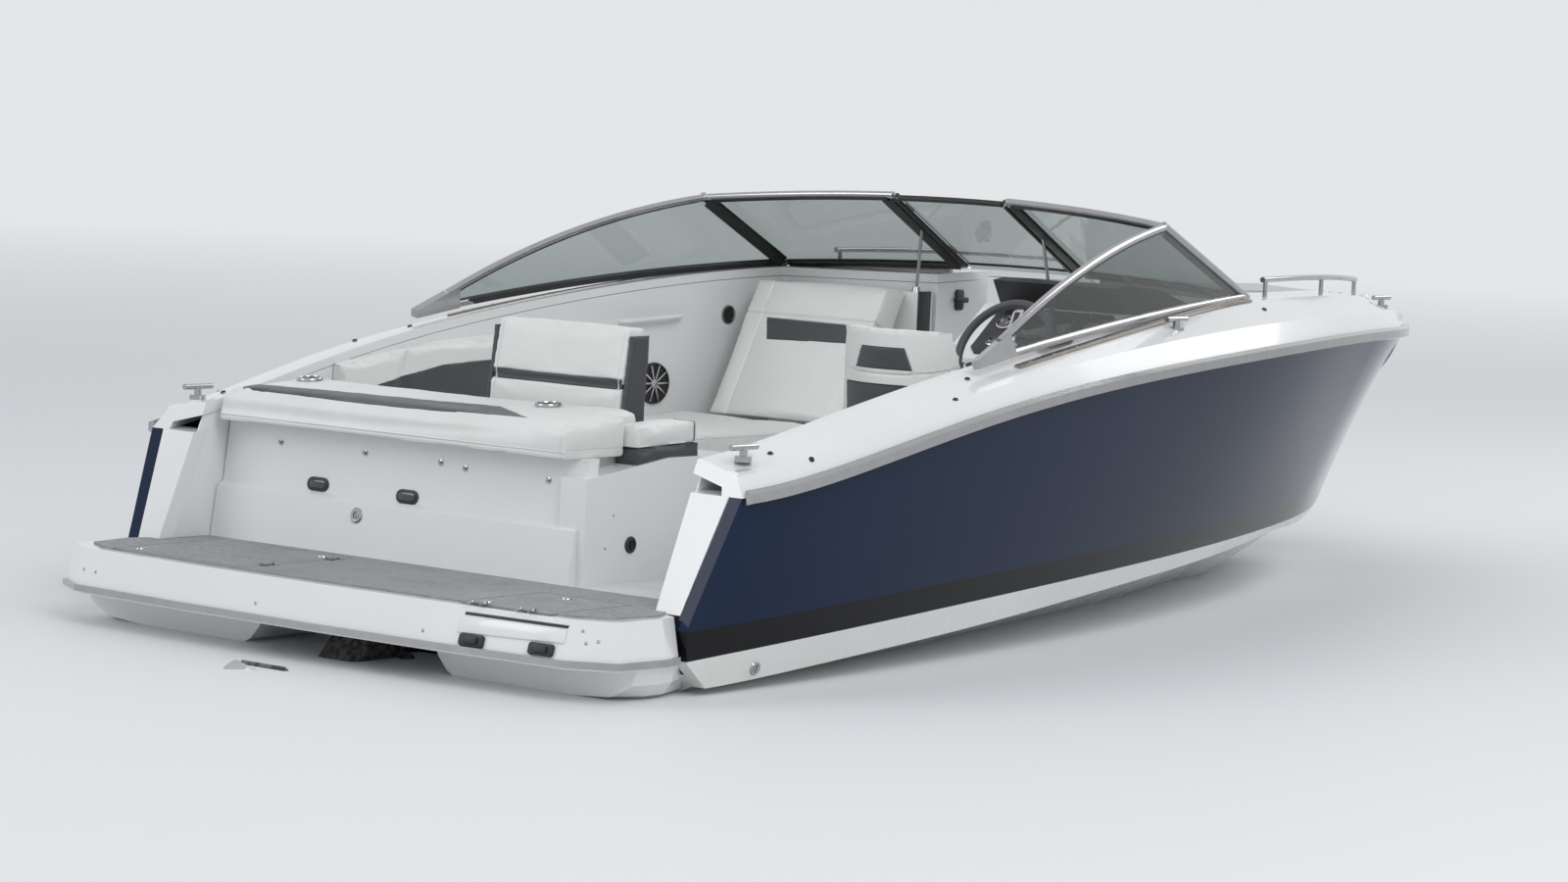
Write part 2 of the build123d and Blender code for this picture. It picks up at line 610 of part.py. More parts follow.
GLASS_T = 6
glass = pane(top_side, base_side, 0.06, 0.985, 8, GLASS_T)
front_glass = pane(top_front, base_front, 0.012, MULLION_T - 0.004, 5, GLASS_T)
glass = Compound([glass - side_parts - deck_outer, front_glass - side_parts - deck_outer])
windshield_glass = Compound(glass.solids() + glass.mirror(Plane.XZ).solids())

# Walk-through door with its own rails and side bars
door_ends = (DOOR_T, 1 - DOOR_T)
windshield_door = pane(top_front, base_front, DOOR_T + 0.001, 0.999 - DOOR_T, 4, GLASS_T, 4)
for arc in (top_front, base_front):
    windshield_door = windshield_door + pipe(part_of(arc, *door_ends), RAIL_R)
for t in door_ends:
    windshield_door = windshield_door + rod(top_front.position_at(t), base_front.position_at(t), DOOR_BAR_R)

# Door hinges: the axis runs beside the port upright, 14 mm in and 16 mm out
hinge_top = top_front.position_at(MULLION_T)
hinge_base = base_front.position_at(MULLION_T)
door_up = (hinge_top - hinge_base).normalized()
door_across = (base_front.position_at(DOOR_T) - hinge_base)
door_across = (door_across - door_up * door_across.dot(door_up)).normalized()
door_out = door_up.cross(door_across)
HINGE_IN = 14
HINGE_OUT = 16
door_axis_point = hinge_base + door_across * HINGE_IN + door_out * HINGE_OUT
hinge_span = (hinge_top - hinge_base).length
for share in (0.2, 0.8):
    p = door_axis_point + door_up * hinge_span * share
    fixed, moving = barrel_hinge(p, door_up, door_out, HINGE_IN, 7)
    hinge_fittings.append(fixed - upright)
    windshield_door = windshield_door + moving
print("door axis point", [round(v, 3) for v in tuple(door_axis_point)])
print("door axis", [round(v, 6) for v in tuple(door_up)])

# Rub rail around the sheer
RAIL_ROWS = [(r[0], r[5], r[6]) for r in STATIONS]


def rail_side(rows, low, high, out_by):
    wires = []
    for x, y, z in rows:
        y0 = y + 1
        y1 = y + out_by
        wires.append(poly_wire([Vector(x, y0, z + low), Vector(x, y1, z + low + 8),
                                Vector(x, y1, z + high - 8), Vector(x, y0, z + high)]))
    return Solid.make_loft(wires)


rail_half = rail_side(RAIL_ROWS, -22, 22, 26)
rub_rail = rail_half + rail_half.mirror(Plane.XZ)
rub_rail = rub_rail - box(200, 540, -1500, 1500, 0, 1500)
bow_cap = prism_z([(6420 + SEAM, 40), (6420 + SEAM, -40), (6452, -16), (6457, 0), (6452, 16)], 847, 891)
rub_rail = rub_rail + bow_cap

# Sterndrive, drawn with the leg down and then tilted up
PIVOT = (390, 0, -60)
STEER_X = 430
TILT_REST = 43
LEG_DOWN = 500
SHIELD_X = 486
PIN_R = 10
PIN_GAP = 0.08
GIMBAL_Z = (-190, -10)
GIMBAL_MID = (GIMBAL_Z[0] + GIMBAL_Z[1]) / 2
GIMBAL_H = GIMBAL_Z[1] - GIMBAL_Z[0]
EAR = 22
EAR_GAP = 3
EAR_Z = (GIMBAL_Z[0] - EAR_GAP - EAR, GIMBAL_Z[1] + EAR_GAP)
shield = box(SHIELD_X, TRANSOM_X, -150, 150, -250, 16)
for z in EAR_Z:
    shield = shield + box(STEER_X, SHIELD_X + 5, -26, 26, z, z + EAR) + Pos(STEER_X, 0, z + EAR / 2) * Cylinder(26, EAR)
steer_pin = Pos(STEER_X, 0, GIMBAL_MID) * Cylinder(PIN_R, GIMBAL_H + 2 * EAR)
transom_shield = shield + steer_pin
GIMBAL_PLAN = [(425, -24), (425, 24), (400, 98), (378, 98), (378, -98), (400, -98)]
gimbal = prism_z(GIMBAL_PLAN, *GIMBAL_Z) + Pos(STEER_X, 0, GIMBAL_MID) * Cylinder(26, GIMBAL_H)
gimbal = gimbal - Pos(STEER_X, 0, GIMBAL_MID) * Cylinder(PIN_R + PIN_GAP, 400)
TILT_PIN_R = 11
TILT_SPAN = 252
tilt_pin = Pos(*PIVOT) * Rot(90, 0, 0) * Cylinder(TILT_PIN_R, TILT_SPAN)
drive_gimbal = gimbal + (tilt_pin & box(376, 404, -200, 200, -100, 0))


def tilt(shape):
    """Turns a leg piece up about the tilt axle."""
    return Pos(*PIVOT) * Rot(0, TILT_REST, 0) * shape


# Leg sections at each height: z, front x, back x, half width
LEG_ROWS = [(-140, -70, -232, 46), (-300, -92, -262, 36), (-400, -108, -296, 26), (-LEG_DOWN, -118, -330, 26)]


def leg_wire(z, front, back, half):
    """Blunt-nosed, sharp-tailed section."""
    length = front - back
    pts = [(front, 0), (front - 0.12 * length, half), (front - 0.55 * length, half), (back, 4),
           (back, -4), (front - 0.55 * length, -half), (front - 0.12 * length, -half)]
    return poly_wire([Vector(x, y, z) for x, y in pts])


UPPER = [(-220, -150), (-62, -150), (-62, 10), (-92, 40), (-190, 40), (-220, 10)]
upper = prism_y(UPPER, -82, 82)
upper = chamfer(upper.edges().filter_by(Axis.Z), 18)
mid_leg = Solid.make_loft([leg_wire(*r) for r in LEG_ROWS], ruled=True)
TORPEDO_R = 52
torpedo = Pos(-240, 0, -LEG_DOWN) * Rot(0, 90, 0) * Cylinder(TORPEDO_R, 240)
nose = Pos(-80, 0, -LEG_DOWN) * Rot(0, 90, 0) * Cone(TORPEDO_R, 14, 80)
skeg = prism_y([(-330, -LEG_DOWN - 40), (-110, -LEG_DOWN - 40), (-255, -LEG_DOWN - 190), (-340, -LEG_DOWN - 190)],
               -6, 6)
PLATE_PLAN = [(-70, 34), (-120, 84), (-330, 112), (-440, 88), (-440, -88), (-330, -112), (-120, -84), (-70, -34)]
plate = prism_z(PLATE_PLAN, -322, -312)
LUG_Y = (104, 126)
lugs = box(-64, 14, -LUG_Y[1], -LUG_Y[0], -26, 26) + box(-64, 14, *LUG_Y, -26, 26)
lugs = lugs + box(-90, -62, -LUG_Y[1], LUG_Y[1], -26, 26) - Rot(90, 0, 0) * Cylinder(TILT_PIN_R + PIN_GAP, 300)
SHAFT_R = 16
SHAFT_END = -548
shaft = Pos((SHAFT_END - 350) / 2, 0, -LEG_DOWN) * Rot(0, 90, 0) * Cylinder(SHAFT_R, -350 - SHAFT_END)
nut = Pos(SHAFT_END + 12, 0, -LEG_DOWN) * Rot(0, 90, 0) * Cylinder(26, 24)
drive_leg = tilt(upper + mid_leg + torpedo + nose + skeg + plate + lugs + shaft + nut)

# Blade sections: radius, chord, thickness, pitch angle from the shaft's plane
BLADE_ROWS = [(38, 74, 12, 62), (80, 104, 9, 48), (120, 112, 6, 38), (152, 78, 3, 32)]
PROPS = {"front": (-402, 1, 50, 1.0), "rear": (-486, -1, 47, 0.95)}
HUB_L = 72


def blade(hand, scale):
    wires = []
    for r, chord, thick, pitch in BLADE_ROWS:
        a = radians(90 - pitch) * hand
        along = Vector(cos(a), sin(a), 0) * (chord * scale / 2)
        across = Vector(-sin(a), cos(a), 0) * (thick / 2)
        c = Vector(0, 0, r * scale)
        wires.append(poly_wire([c + along, c + across, c - along, c - across]))
    return Solid.make_loft(wires)


def propeller(x, hand, r_hub, scale, count=3):
    body = Rot(0, 90, 0) * Cylinder(r_hub, HUB_L)
    for i in range(count):
        body = body + Rot(i * 360 / count, 0, 0) * blade(hand, scale)
    body = body - Rot(0, 90, 0) * Cylinder(SHAFT_R + PIN_PLAY, HUB_L + 20)
    return Pos(x, 0, -LEG_DOWN) * body


propeller_front = tilt(propeller(*PROPS["front"]))
propeller_rear = tilt(propeller(*PROPS["rear"]))

# Deck fittings
CLEATS = [(640, 1110, 0), (640, -1110, 0), (2830, 1165, 0), (2830, -1165, 0), (5000, 700, 0), (5000, -700, 0)]


def deck_z(x, y):
    sy = table(STATIONS, x, 5)
    sz = table(STATIONS, x, 6)
    ny = sy - min(KNUCKLE_IN, 0.25 * sy)
    ey = sy - min(EDGE_IN, 0.55 * sy)
    n = sz + table(DECK_RISE, x, 1)
    e = sz + table(DECK_RISE, x, 2)
    c = sz + table(DECK_RISE, x, 3)
    y = abs(y)
    if y > ey:
        return n + (ny - y) / (ny - ey) * (e - n)
    return e + (ey - y) / ey * (c - e)


CLEAT_TOP = 34
cleats = []
for x, y, _ in CLEATS:
    z = deck_z(x, y)
    horn = Pos(0, 0, CLEAT_TOP) * Rot(0, 90, 0) * Cylinder(9, 120)
    c = Pos(x, y, z) * (Cylinder(26, 16) + Pos(0, 0, CLEAT_TOP / 2) * Cylinder(12, CLEAT_TOP) + horn)
    cleats.append(c - deck_outer)
cleats = Compound(cleats)
bow_rail_parts = []
for s in (1, -1):
    a = (3750, s * 930, deck_z(3750, 930) + 60)
    b = (4900, s * 640, deck_z(4900, 640) + 60)
    m = (4350, s * 820, deck_z(4350, 820) + 62)
    e = arc_edge(a, m, b)
    r = pipe(e, 10)
    for t in (0.02, 0.5, 0.98):
        p = e.position_at(t)
        r = r + rod((p.X, p.Y, p.Z - 75), (p.X, p.Y, p.Z), 8)
    bow_rail_parts.append(r - deck_outer)
bow_rails = Compound(bow_rail_parts)
nav_light = Pos(6100, 0, deck_z(6100, 0)) * (Cylinder(28, 24) + Pos(0, 0, 12) * Sphere(24)) - deck_outer

# Lid hinges stand on the foredeck at the lid's forward edge
LID_HINGE_Y = 38
LID_HINGE = (5800, deck_z(5800, 0) + BARREL_R + 1)
for y in (-LID_HINGE_Y, LID_HINGE_Y):
    fixed, moving = barrel_hinge((LID_HINGE[0], y, LID_HINGE[1]), (0, 1, 0), foot=12)
    hinge_fittings.append(fixed - deck_outer)
    anchor_lid = anchor_lid + moving + (Pos(5775, y, LID_HINGE[1] - 8) * Box(20, 30, 10) - deck_inner)
print("lid hinge z", round(LID_HINGE[1], 3))
hinge_fittings = Compound(hinge_fittings)

# Throttle on the starboard side deck, its lever leaning inboard
THROTTLE = (2230, -1092)
throttle_z = deck_z(*THROTTLE)
lever_top = (2262, -1046, throttle_z + 122)
throttle = Pos(THROTTLE[0], THROTTLE[1], throttle_z) * Box(150, 40, 44)
throttle = throttle + rod((THROTTLE[0], THROTTLE[1], throttle_z + 12), lever_top, 8) + ball(lever_top, 16)
throttle = throttle - deck_outer

out(hull_bottom, "hull_bottom")
out(boot_stripe, "boot_stripe")
out(hull_topsides, "hull_topsides")
out(deck, "deck")
out(rub_rail, "rub_rail")
out(liner, "cockpit_liner")
out(swim_platform, "swim_platform")
out(platform_rail, "platform_rail")
out(platform_mat, "platform_mat")
out(platform_hatch, "platform_hatch")
out(swim_step, "swim_step")
out(transom_wall, "transom_wall")
out(transom_wings, "transom_wings")
out(transom_pad, "transom_pad")
out(box_plinth, "box_plinth")
out(engine_block, "engine_block")
out(aft_seat_cushion, "aft_seat_cushion")
out(aft_backrest, "aft_backrest")
out(backrest_arms, "backrest_arms")
out(coaming_pads, "coaming_pads")
out(port_lounge_cushion, "port_lounge_cushion")
out(companion_backrest, "companion_backrest")
out(port_console, "port_console")
out(helm_console, "helm_console")
out(dash_visor, "dash_visor")
out(helm_seat_pedestal, "helm_seat_pedestal")
out(helm_seat, "helm_seat")
out(helm_column, "helm_column")
out(steering_wheel, "steering_wheel")
out(windshield_frame, "windshield_frame")
out(windshield_glass, "windshield_glass")
out(windshield_door, "windshield_door")
out(transom_shield, "transom_shield")
out(drive_gimbal, "drive_gimbal")
out(drive_leg, "drive_leg")
out(propeller_front, "propeller_front")
out(propeller_rear, "propeller_rear")
out(cleats, "cleats")
out(bow_rails, "bow_rails")
out(nav_light, "nav_light")
out(anchor_lid, "anchor_lid")
out(bow_cushions, "bow_cushions")
out(aft_bolster, "aft_bolster")
out(hinge_fittings, "hinge_fittings")
out(throttle, "throttle")
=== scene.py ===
"""Looks of an open bowrider speedboat afloat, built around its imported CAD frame."""
import json
import logging
import math
from dataclasses import dataclass
from enum import Enum
from typing import Sequence

import bmesh
import bpy
from mathutils import Matrix, Vector, noise

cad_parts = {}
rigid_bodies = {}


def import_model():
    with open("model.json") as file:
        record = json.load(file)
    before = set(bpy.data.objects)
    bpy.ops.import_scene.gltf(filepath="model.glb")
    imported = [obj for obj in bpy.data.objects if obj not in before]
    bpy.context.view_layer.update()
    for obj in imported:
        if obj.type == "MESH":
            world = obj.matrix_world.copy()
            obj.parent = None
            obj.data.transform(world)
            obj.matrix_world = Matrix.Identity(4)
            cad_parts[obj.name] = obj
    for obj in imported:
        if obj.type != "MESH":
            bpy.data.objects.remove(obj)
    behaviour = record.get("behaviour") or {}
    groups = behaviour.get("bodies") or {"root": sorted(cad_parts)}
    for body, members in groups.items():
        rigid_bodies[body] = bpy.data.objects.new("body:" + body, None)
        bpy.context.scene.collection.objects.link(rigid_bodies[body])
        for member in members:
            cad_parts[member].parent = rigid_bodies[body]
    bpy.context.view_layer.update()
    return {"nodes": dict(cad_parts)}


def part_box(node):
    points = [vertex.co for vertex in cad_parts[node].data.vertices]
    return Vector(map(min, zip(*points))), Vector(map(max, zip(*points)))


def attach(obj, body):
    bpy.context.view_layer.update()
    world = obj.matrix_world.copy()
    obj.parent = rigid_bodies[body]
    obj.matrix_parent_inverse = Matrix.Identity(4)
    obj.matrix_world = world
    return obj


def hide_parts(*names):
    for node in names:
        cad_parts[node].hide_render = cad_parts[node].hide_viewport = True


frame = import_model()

log = logging.getLogger("speedboat")
Point = tuple[float, float, float]
Pair = tuple[float, float]
Hit = tuple[Vector, Vector]
Station = tuple[Vector, Vector, Vector]
NODES = frame["nodes"]
HULL = "hull"
UP: Point = (0.0, 0.0, 1.0)
DOWN: Point = (0.0, 0.0, -1.0)


# Shader node groups
class NodeKind(Enum):
    """Shader node types by the word used for them here."""

    COORD = "ShaderNodeTexCoord"
    MAPPING = "ShaderNodeMapping"
    NOISE = "ShaderNodeTexNoise"
    VORONOI = "ShaderNodeTexVoronoi"
    RANGE = "ShaderNodeMapRange"
    MATH = "ShaderNodeMath"
    MIX = "ShaderNodeMix"
    SPLIT = "ShaderNodeSeparateXYZ"
    BUMP = "ShaderNodeBump"
    GEOMETRY = "ShaderNodeNewGeometry"


@dataclass
class Graph:
    """A node tree with short calls for adding and joining nodes."""

    tree: bpy.types.NodeTree

    def add(self, kind: NodeKind, **values: object) -> bpy.types.Node:
        """Adds a node and sets its properties.

        Args:
            kind: the node's type.
            values: properties of the node.

        Returns:
            The new node.
        """
        node = self.tree.nodes.new(kind.value)
        for name, value in values.items():
            setattr(node, name, value)
        return node

    def join(self, source: bpy.types.NodeSocket, target: bpy.types.NodeSocket) -> None:
        """Links an output socket to an input socket."""
        self.tree.links.new(source, target)

    def math(self, operation: str, a: object, b: object = 0.0) -> bpy.types.NodeSocket:
        """Adds a Math node.

        Args:
            operation: the operation's name.
            a: first value or socket.
            b: second value or socket.

        Returns:
            The result's socket.
        """
        node = self.add(NodeKind.MATH, operation=operation)
        for socket, value in zip(node.inputs, (a, b)):
            if isinstance(value, bpy.types.NodeSocket):
                self.join(value, socket)
            else:
                socket.default_value = value
        return node.outputs[0]

    def spread(self, value: bpy.types.NodeSocket, low: float, high: float,
               to_low: object = 0.0, to_high: object = 1.0) -> bpy.types.NodeSocket:
        """Maps a value from one span to another, clamped.

        Args:
            value: the socket to map.
            low: start of the span read.
            high: end of the span read.
            to_low: value or socket given at low.
            to_high: value or socket given at high.

        Returns:
            The mapped socket.
        """
        node = self.add(NodeKind.RANGE)
        self.join(value, node.inputs["Value"])
        node.inputs["From Min"].default_value = low
        node.inputs["From Max"].default_value = high
        for name, end in (("To Min", to_low), ("To Max", to_high)):
            if isinstance(end, bpy.types.NodeSocket):
                self.join(end, node.inputs[name])
            else:
                node.inputs[name].default_value = end
        return node.outputs["Result"]


def new_group(name: str, inputs: Sequence[tuple[str, float]], output: str) -> tuple[
        Graph, bpy.types.NodeOutputs, bpy.types.NodeSocket, bpy.types.NodeSocket]:
    """Starts a shader group whose inputs are plain numbers.

    Args:
        name: the group's name.
        inputs: name and usual value of each input.
        output: name of the one value it puts out.

    Returns:
        Its graph, the values given to it, the socket it fills, and the object coordinates.
    """
    tree = bpy.data.node_groups.new(name, "ShaderNodeTree")
    for label, value in inputs:
        socket = tree.interface.new_socket(label, in_out="INPUT", socket_type="NodeSocketFloat")
        socket.default_value = value
    tree.interface.new_socket(output, in_out="OUTPUT", socket_type="NodeSocketFloat")
    g = Graph(tree)
    given = tree.nodes.new("NodeGroupInput").outputs
    put = tree.nodes.new("NodeGroupOutput").inputs[output]
    return g, given, put, g.add(NodeKind.COORD).outputs["Object"]


def patches_group() -> None:
    """Soft uneven patches, for colour and gloss that change over a surface."""
    inputs = [("Scale", 3.0), ("Detail", 4.0), ("Low", 0.0), ("High", 1.0)]
    g, given, put, coord = new_group("soft_patches", inputs, "Value")
    clouds = g.add(NodeKind.NOISE)
    g.join(coord, clouds.inputs["Vector"])
    g.join(given["Scale"], clouds.inputs["Scale"])
    g.join(given["Detail"], clouds.inputs["Detail"])
    g.join(g.spread(clouds.outputs["Fac"], 0.3, 0.7, given["Low"], given["High"]), put)


def grain_group() -> None:
    """Pebbled grain of upholstery vinyl and moulded plastic."""
    g, given, put, coord = new_group("pebble_grain", [("Scale", 900.0), ("Wrinkle", 40.0)], "Height")
    cells = g.add(NodeKind.VORONOI, feature="SMOOTH_F1")
    wrinkles = g.add(NodeKind.NOISE)
    for node, scale in ((cells, "Scale"), (wrinkles, "Wrinkle")):
        g.join(coord, node.inputs["Vector"])
        g.join(given[scale], node.inputs["Scale"])
    low = g.math("MULTIPLY", wrinkles.outputs["Fac"], 0.6)
    g.join(g.math("ADD", cells.outputs["Distance"], low), put)


def brushed_group() -> None:
    """Fine lines along one direction, for brushed metal and foam mat."""
    g, given, put, coord = new_group("brushed_lines", [("Across", 1200.0), ("Along", 12.0)], "Height")
    split = g.add(NodeKind.SPLIT)
    g.join(coord, split.inputs[0])
    stretched = g.tree.nodes.new("ShaderNodeCombineXYZ")
    for axis, scale in (("X", "Across"), ("Y", "Along"), ("Z", "Across")):
        g.join(g.math("MULTIPLY", split.outputs[axis], given[scale]), stretched.inputs[axis])
    lines = g.add(NodeKind.NOISE)
    lines.inputs["Scale"].default_value = 1.0
    lines.inputs["Detail"].default_value = 2.0
    g.join(stretched.outputs["Vector"], lines.inputs["Vector"])
    g.join(lines.outputs["Fac"], put)


def film_group() -> None:
    """Mask of the film that water leaves near the waterline, streaked by noise."""
    g, given, put, coord = new_group("water_film", [("Top", 0.16), ("Amount", 0.5)], "Mask")
    split = g.add(NodeKind.SPLIT)
    g.join(coord, split.inputs[0])
    mapping = g.add(NodeKind.MAPPING)
    mapping.inputs["Scale"].default_value = (14.0, 14.0, 2.5)
    g.join(coord, mapping.inputs["Vector"])
    streaks = g.add(NodeKind.NOISE)
    g.join(mapping.outputs["Vector"], streaks.inputs["Vector"])
    streaks.inputs["Scale"].default_value = 1.0
    streaks.inputs["Detail"].default_value = 6.0
    near = g.spread(g.math("SUBTRACT", given["Top"], split.outputs["Z"]), 0.0, 0.2)
    mask = g.math("MULTIPLY", near, g.spread(streaks.outputs["Fac"], 0.35, 0.7))
    g.join(g.math("MULTIPLY", mask, given["Amount"]), put)


def wear_group() -> None:
    """Mask of rubbed edges, from how sharply the surface turns."""
    g, given, put, coord = new_group("edge_wear", [("Amount", 0.5), ("Breakup", 60.0)], "Mask")
    breaks = g.add(NodeKind.NOISE)
    g.join(coord, breaks.inputs["Vector"])
    g.join(given["Breakup"], breaks.inputs["Scale"])
    edge = g.spread(g.add(NodeKind.GEOMETRY).outputs["Pointiness"], 0.52, 0.6)
    mask = g.math("MULTIPLY", edge, g.spread(breaks.outputs["Fac"], 0.4, 0.6))
    g.join(g.math("MULTIPLY", mask, given["Amount"]), put)


for make_group in (patches_group, grain_group, brushed_group, film_group, wear_group):
    make_group()


# Finishes
FILM_COLOR: Point = (0.32, 0.3, 0.22)


@dataclass(frozen=True)
class Finish:
    """A surface finish: one Principled shader with what changes over it.

    Colours are linear. tone is the second colour that soft patches mix in.
    """

    name: str
    slot: str
    color: Point
    tone: Point = (0.5, 0.5, 0.5)
    tone_amount: float = 0.1
    patch_scale: float = 2.5
    rough: Pair = (0.3, 0.4)
    metallic: float = 0.0
    coat: float = 0.0
    coat_rough: float = 0.05
    clear: float = 0.0
    ior: float = 1.5
    sheen: float = 0.0
    bump: float = 0.0
    bump_depth: float = 0.001
    bump_group: str = "pebble_grain"
    bump_values: tuple[tuple[str, float], ...] = ()
    film: float = 0.0
    film_top: float = 0.16
    wear: float = 0.0
    wear_color: Point = (0.6, 0.6, 0.6)

    def _group(self, g: Graph, name: str, values: Sequence[tuple[str, float]]) -> bpy.types.Node:
        """Places a shared group with this finish's own values.

        Args:
            g: the material's graph.
            name: the group's name.
            values: input names and numbers.

        Returns:
            The group node.
        """
        node = g.tree.nodes.new("ShaderNodeGroup")
        node.node_tree = bpy.data.node_groups[name]
        for label, value in values:
            node.inputs[label].default_value = value
        return node

    def _mix(self, g: Graph, mask: bpy.types.NodeSocket, a: object, b: Point) -> bpy.types.NodeSocket:
        """Mixes a colour over another by a mask.

        Args:
            g: the material's graph.
            mask: factor socket.
            a: colour or socket below.
            b: colour above.

        Returns:
            The colour socket.
        """
        node = g.add(NodeKind.MIX, data_type="RGBA")
        g.join(mask, node.inputs[0])
        if isinstance(a, bpy.types.NodeSocket):
            g.join(a, node.inputs[6])
        else:
            node.inputs[6].default_value = (*a, 1.0)
        node.inputs[7].default_value = (*b, 1.0)
        return node.outputs[2]

    def build(self) -> bpy.types.Material:
        """Makes the material, or gives the one already made.

        Returns:
            The material.
        """
        made = bpy.data.materials.get(self.name)
        if made:
            return made
        material = bpy.data.materials.new(self.name)
        material.use_nodes = True
        shader = material.node_tree.nodes["Principled BSDF"]
        g = Graph(material.node_tree)
        patches = self._group(g, "soft_patches", [("Scale", self.patch_scale), ("Low", 0.0),
                                                  ("High", self.tone_amount)])
        color = self._mix(g, patches.outputs[0], self.color, self.tone)
        if self.film:
            film = self._group(g, "water_film", [("Top", self.film_top), ("Amount", self.film)])
            color = self._mix(g, film.outputs[0], color, FILM_COLOR)
        if self.wear:
            wear = self._group(g, "edge_wear", [("Amount", self.wear)])
            color = self._mix(g, wear.outputs[0], color, self.wear_color)
        g.join(color, shader.inputs["Base Color"])
        gloss = self._group(g, "soft_patches", [("Scale", self.patch_scale * 4.0), ("Low", self.rough[0]),
                                                ("High", self.rough[1])])
        g.join(gloss.outputs[0], shader.inputs["Roughness"])
        if self.bump:
            relief = self._group(g, self.bump_group, self.bump_values)
            bump = g.add(NodeKind.BUMP)
            bump.inputs["Strength"].default_value = self.bump
            bump.inputs["Distance"].default_value = self.bump_depth
            g.join(relief.outputs[0], bump.inputs["Height"])
            g.join(bump.outputs["Normal"], shader.inputs["Normal"])
        constants = (("Metallic", self.metallic), ("Coat Weight", self.coat),
                     ("Coat Roughness", self.coat_rough), ("Transmission Weight", self.clear),
                     ("IOR", self.ior), ("Sheen Weight", self.sheen))
        for label, value in constants:
            shader.inputs[label].default_value = value
        return material


PEEL = (("Scale", 160.0), ("Wrinkle", 18.0))
VINYL_GRAIN = (("Scale", 700.0), ("Wrinkle", 35.0))
PLASTIC_GRAIN = (("Scale", 1500.0), ("Wrinkle", 60.0))
MAT_RIBS = (("Across", 420.0), ("Along", 30.0))
GEL_SKIN = {"bump_depth": 0.0006, "bump_values": PEEL}
DARK_GLOSS = {"coat": 0.12, "coat_rough": 0.02, "ior": 1.24, "bump": 0.04, **GEL_SKIN}
METAL = {"metallic": 1.0, "bump_group": "brushed_lines"}

WHITE_GEL = Finish("white_gelcoat_gloss", "white_gelcoat", (0.79, 0.8, 0.8), (0.7, 0.7, 0.69),
                   0.3, 1.6, (0.14, 0.24), coat=0.5, bump=0.05, **GEL_SKIN)
BOTTOM_GEL = Finish("white_bottom_gelcoat", "white_gelcoat", (0.77, 0.78, 0.77), (0.62, 0.62, 0.58),
                    0.4, 2.2, (0.16, 0.3), coat=0.4, bump=0.05, film=0.22, film_top=0.1, **GEL_SKIN)
NAVY_GEL = Finish("navy_gelcoat_gloss", "navy_gelcoat", (0.004, 0.014, 0.042), (0.007, 0.02, 0.055),
                  0.5, 1.2, (0.05, 0.12), **DARK_GLOSS)
BLACK_GEL = Finish("black_gelcoat_gloss", "black_gelcoat", (0.004, 0.004, 0.005), (0.01, 0.01, 0.01),
                   0.4, 2.0, (0.06, 0.14), film=0.12, film_top=0.12, **DARK_GLOSS)
STAINLESS = Finish("stainless_polished", "stainless", (0.44, 0.44, 0.45), (0.28, 0.28, 0.28),
                   0.25, 20.0, (0.08, 0.2), bump=0.03, bump_depth=0.0002, **METAL)
BRONZED = Finish("channel_worn_metal", "stainless", (0.33, 0.3, 0.27), (0.22, 0.2, 0.18),
                 0.4, 14.0, (0.25, 0.4), bump=0.06, bump_depth=0.0003, **METAL)
POLISHED = Finish("polished_trim", "stainless", (0.62, 0.62, 0.63), (0.45, 0.45, 0.46),
                  0.3, 30.0, (0.06, 0.14), bump=0.02, bump_depth=0.0002, **METAL)
PROP_STEEL = Finish("propeller_steel", "prop_steel", (0.55, 0.55, 0.56), (0.3, 0.3, 0.3),
                    0.35, 16.0, (0.14, 0.3), bump=0.1, bump_depth=0.0003, **METAL)
PEDESTAL = Finish("pedestal_aluminium", "pedestal_alu", (0.55, 0.56, 0.57), (0.4, 0.4, 0.4),
                  0.3, 10.0, (0.25, 0.4), bump=0.05, bump_depth=0.0003, **METAL)
MAT_GREY = Finish("grey_foam_mat", "grey_mat", (0.3, 0.305, 0.32), (0.2, 0.205, 0.215),
                  0.5, 6.0, (0.75, 0.9), bump=0.5, bump_depth=0.0012, bump_group="brushed_lines",
                  bump_values=MAT_RIBS, wear=0.3, wear_color=(0.5, 0.5, 0.5))
WHITE_VINYL = Finish("white_vinyl_grained", "white_vinyl", (0.76, 0.76, 0.75), (0.64, 0.63, 0.61),
                     0.35, 4.0, (0.38, 0.5), sheen=0.1, bump=0.25, bump_depth=0.0005,
                     bump_values=VINYL_GRAIN)
GREY_VINYL = Finish("grey_vinyl_grained", "white_vinyl", (0.045, 0.047, 0.055), (0.08, 0.08, 0.09),
                    0.4, 5.0, (0.4, 0.55), sheen=0.1, bump=0.35, bump_depth=0.0006,
                    bump_values=VINYL_GRAIN)
DARK_PLASTIC = Finish("dark_moulded_plastic", "dark_plastic", (0.014, 0.014, 0.016),
                      (0.03, 0.03, 0.03), 0.4, 8.0, (0.38, 0.5), bump=0.2, bump_depth=0.0003,
                      bump_values=PLASTIC_GRAIN)
TINTED = Finish("tinted_glass_pane", "tinted_glass", (0.42, 0.47, 0.46), (0.4, 0.45, 0.44),
                0.2, 3.0, (0.0, 0.02), clear=1.0, ior=1.45)
SMOKED = Finish("smoked_lens", "dark_plastic", (0.006, 0.007, 0.009), (0.02, 0.02, 0.022),
                0.3, 30.0, (0.05, 0.1), coat=1.0, coat_rough=0.03)
LENS = Finish("light_lens_clear", "light_lens", (0.75, 0.78, 0.76), (0.6, 0.62, 0.6),
              0.3, 20.0, (0.08, 0.15), coat=0.6)
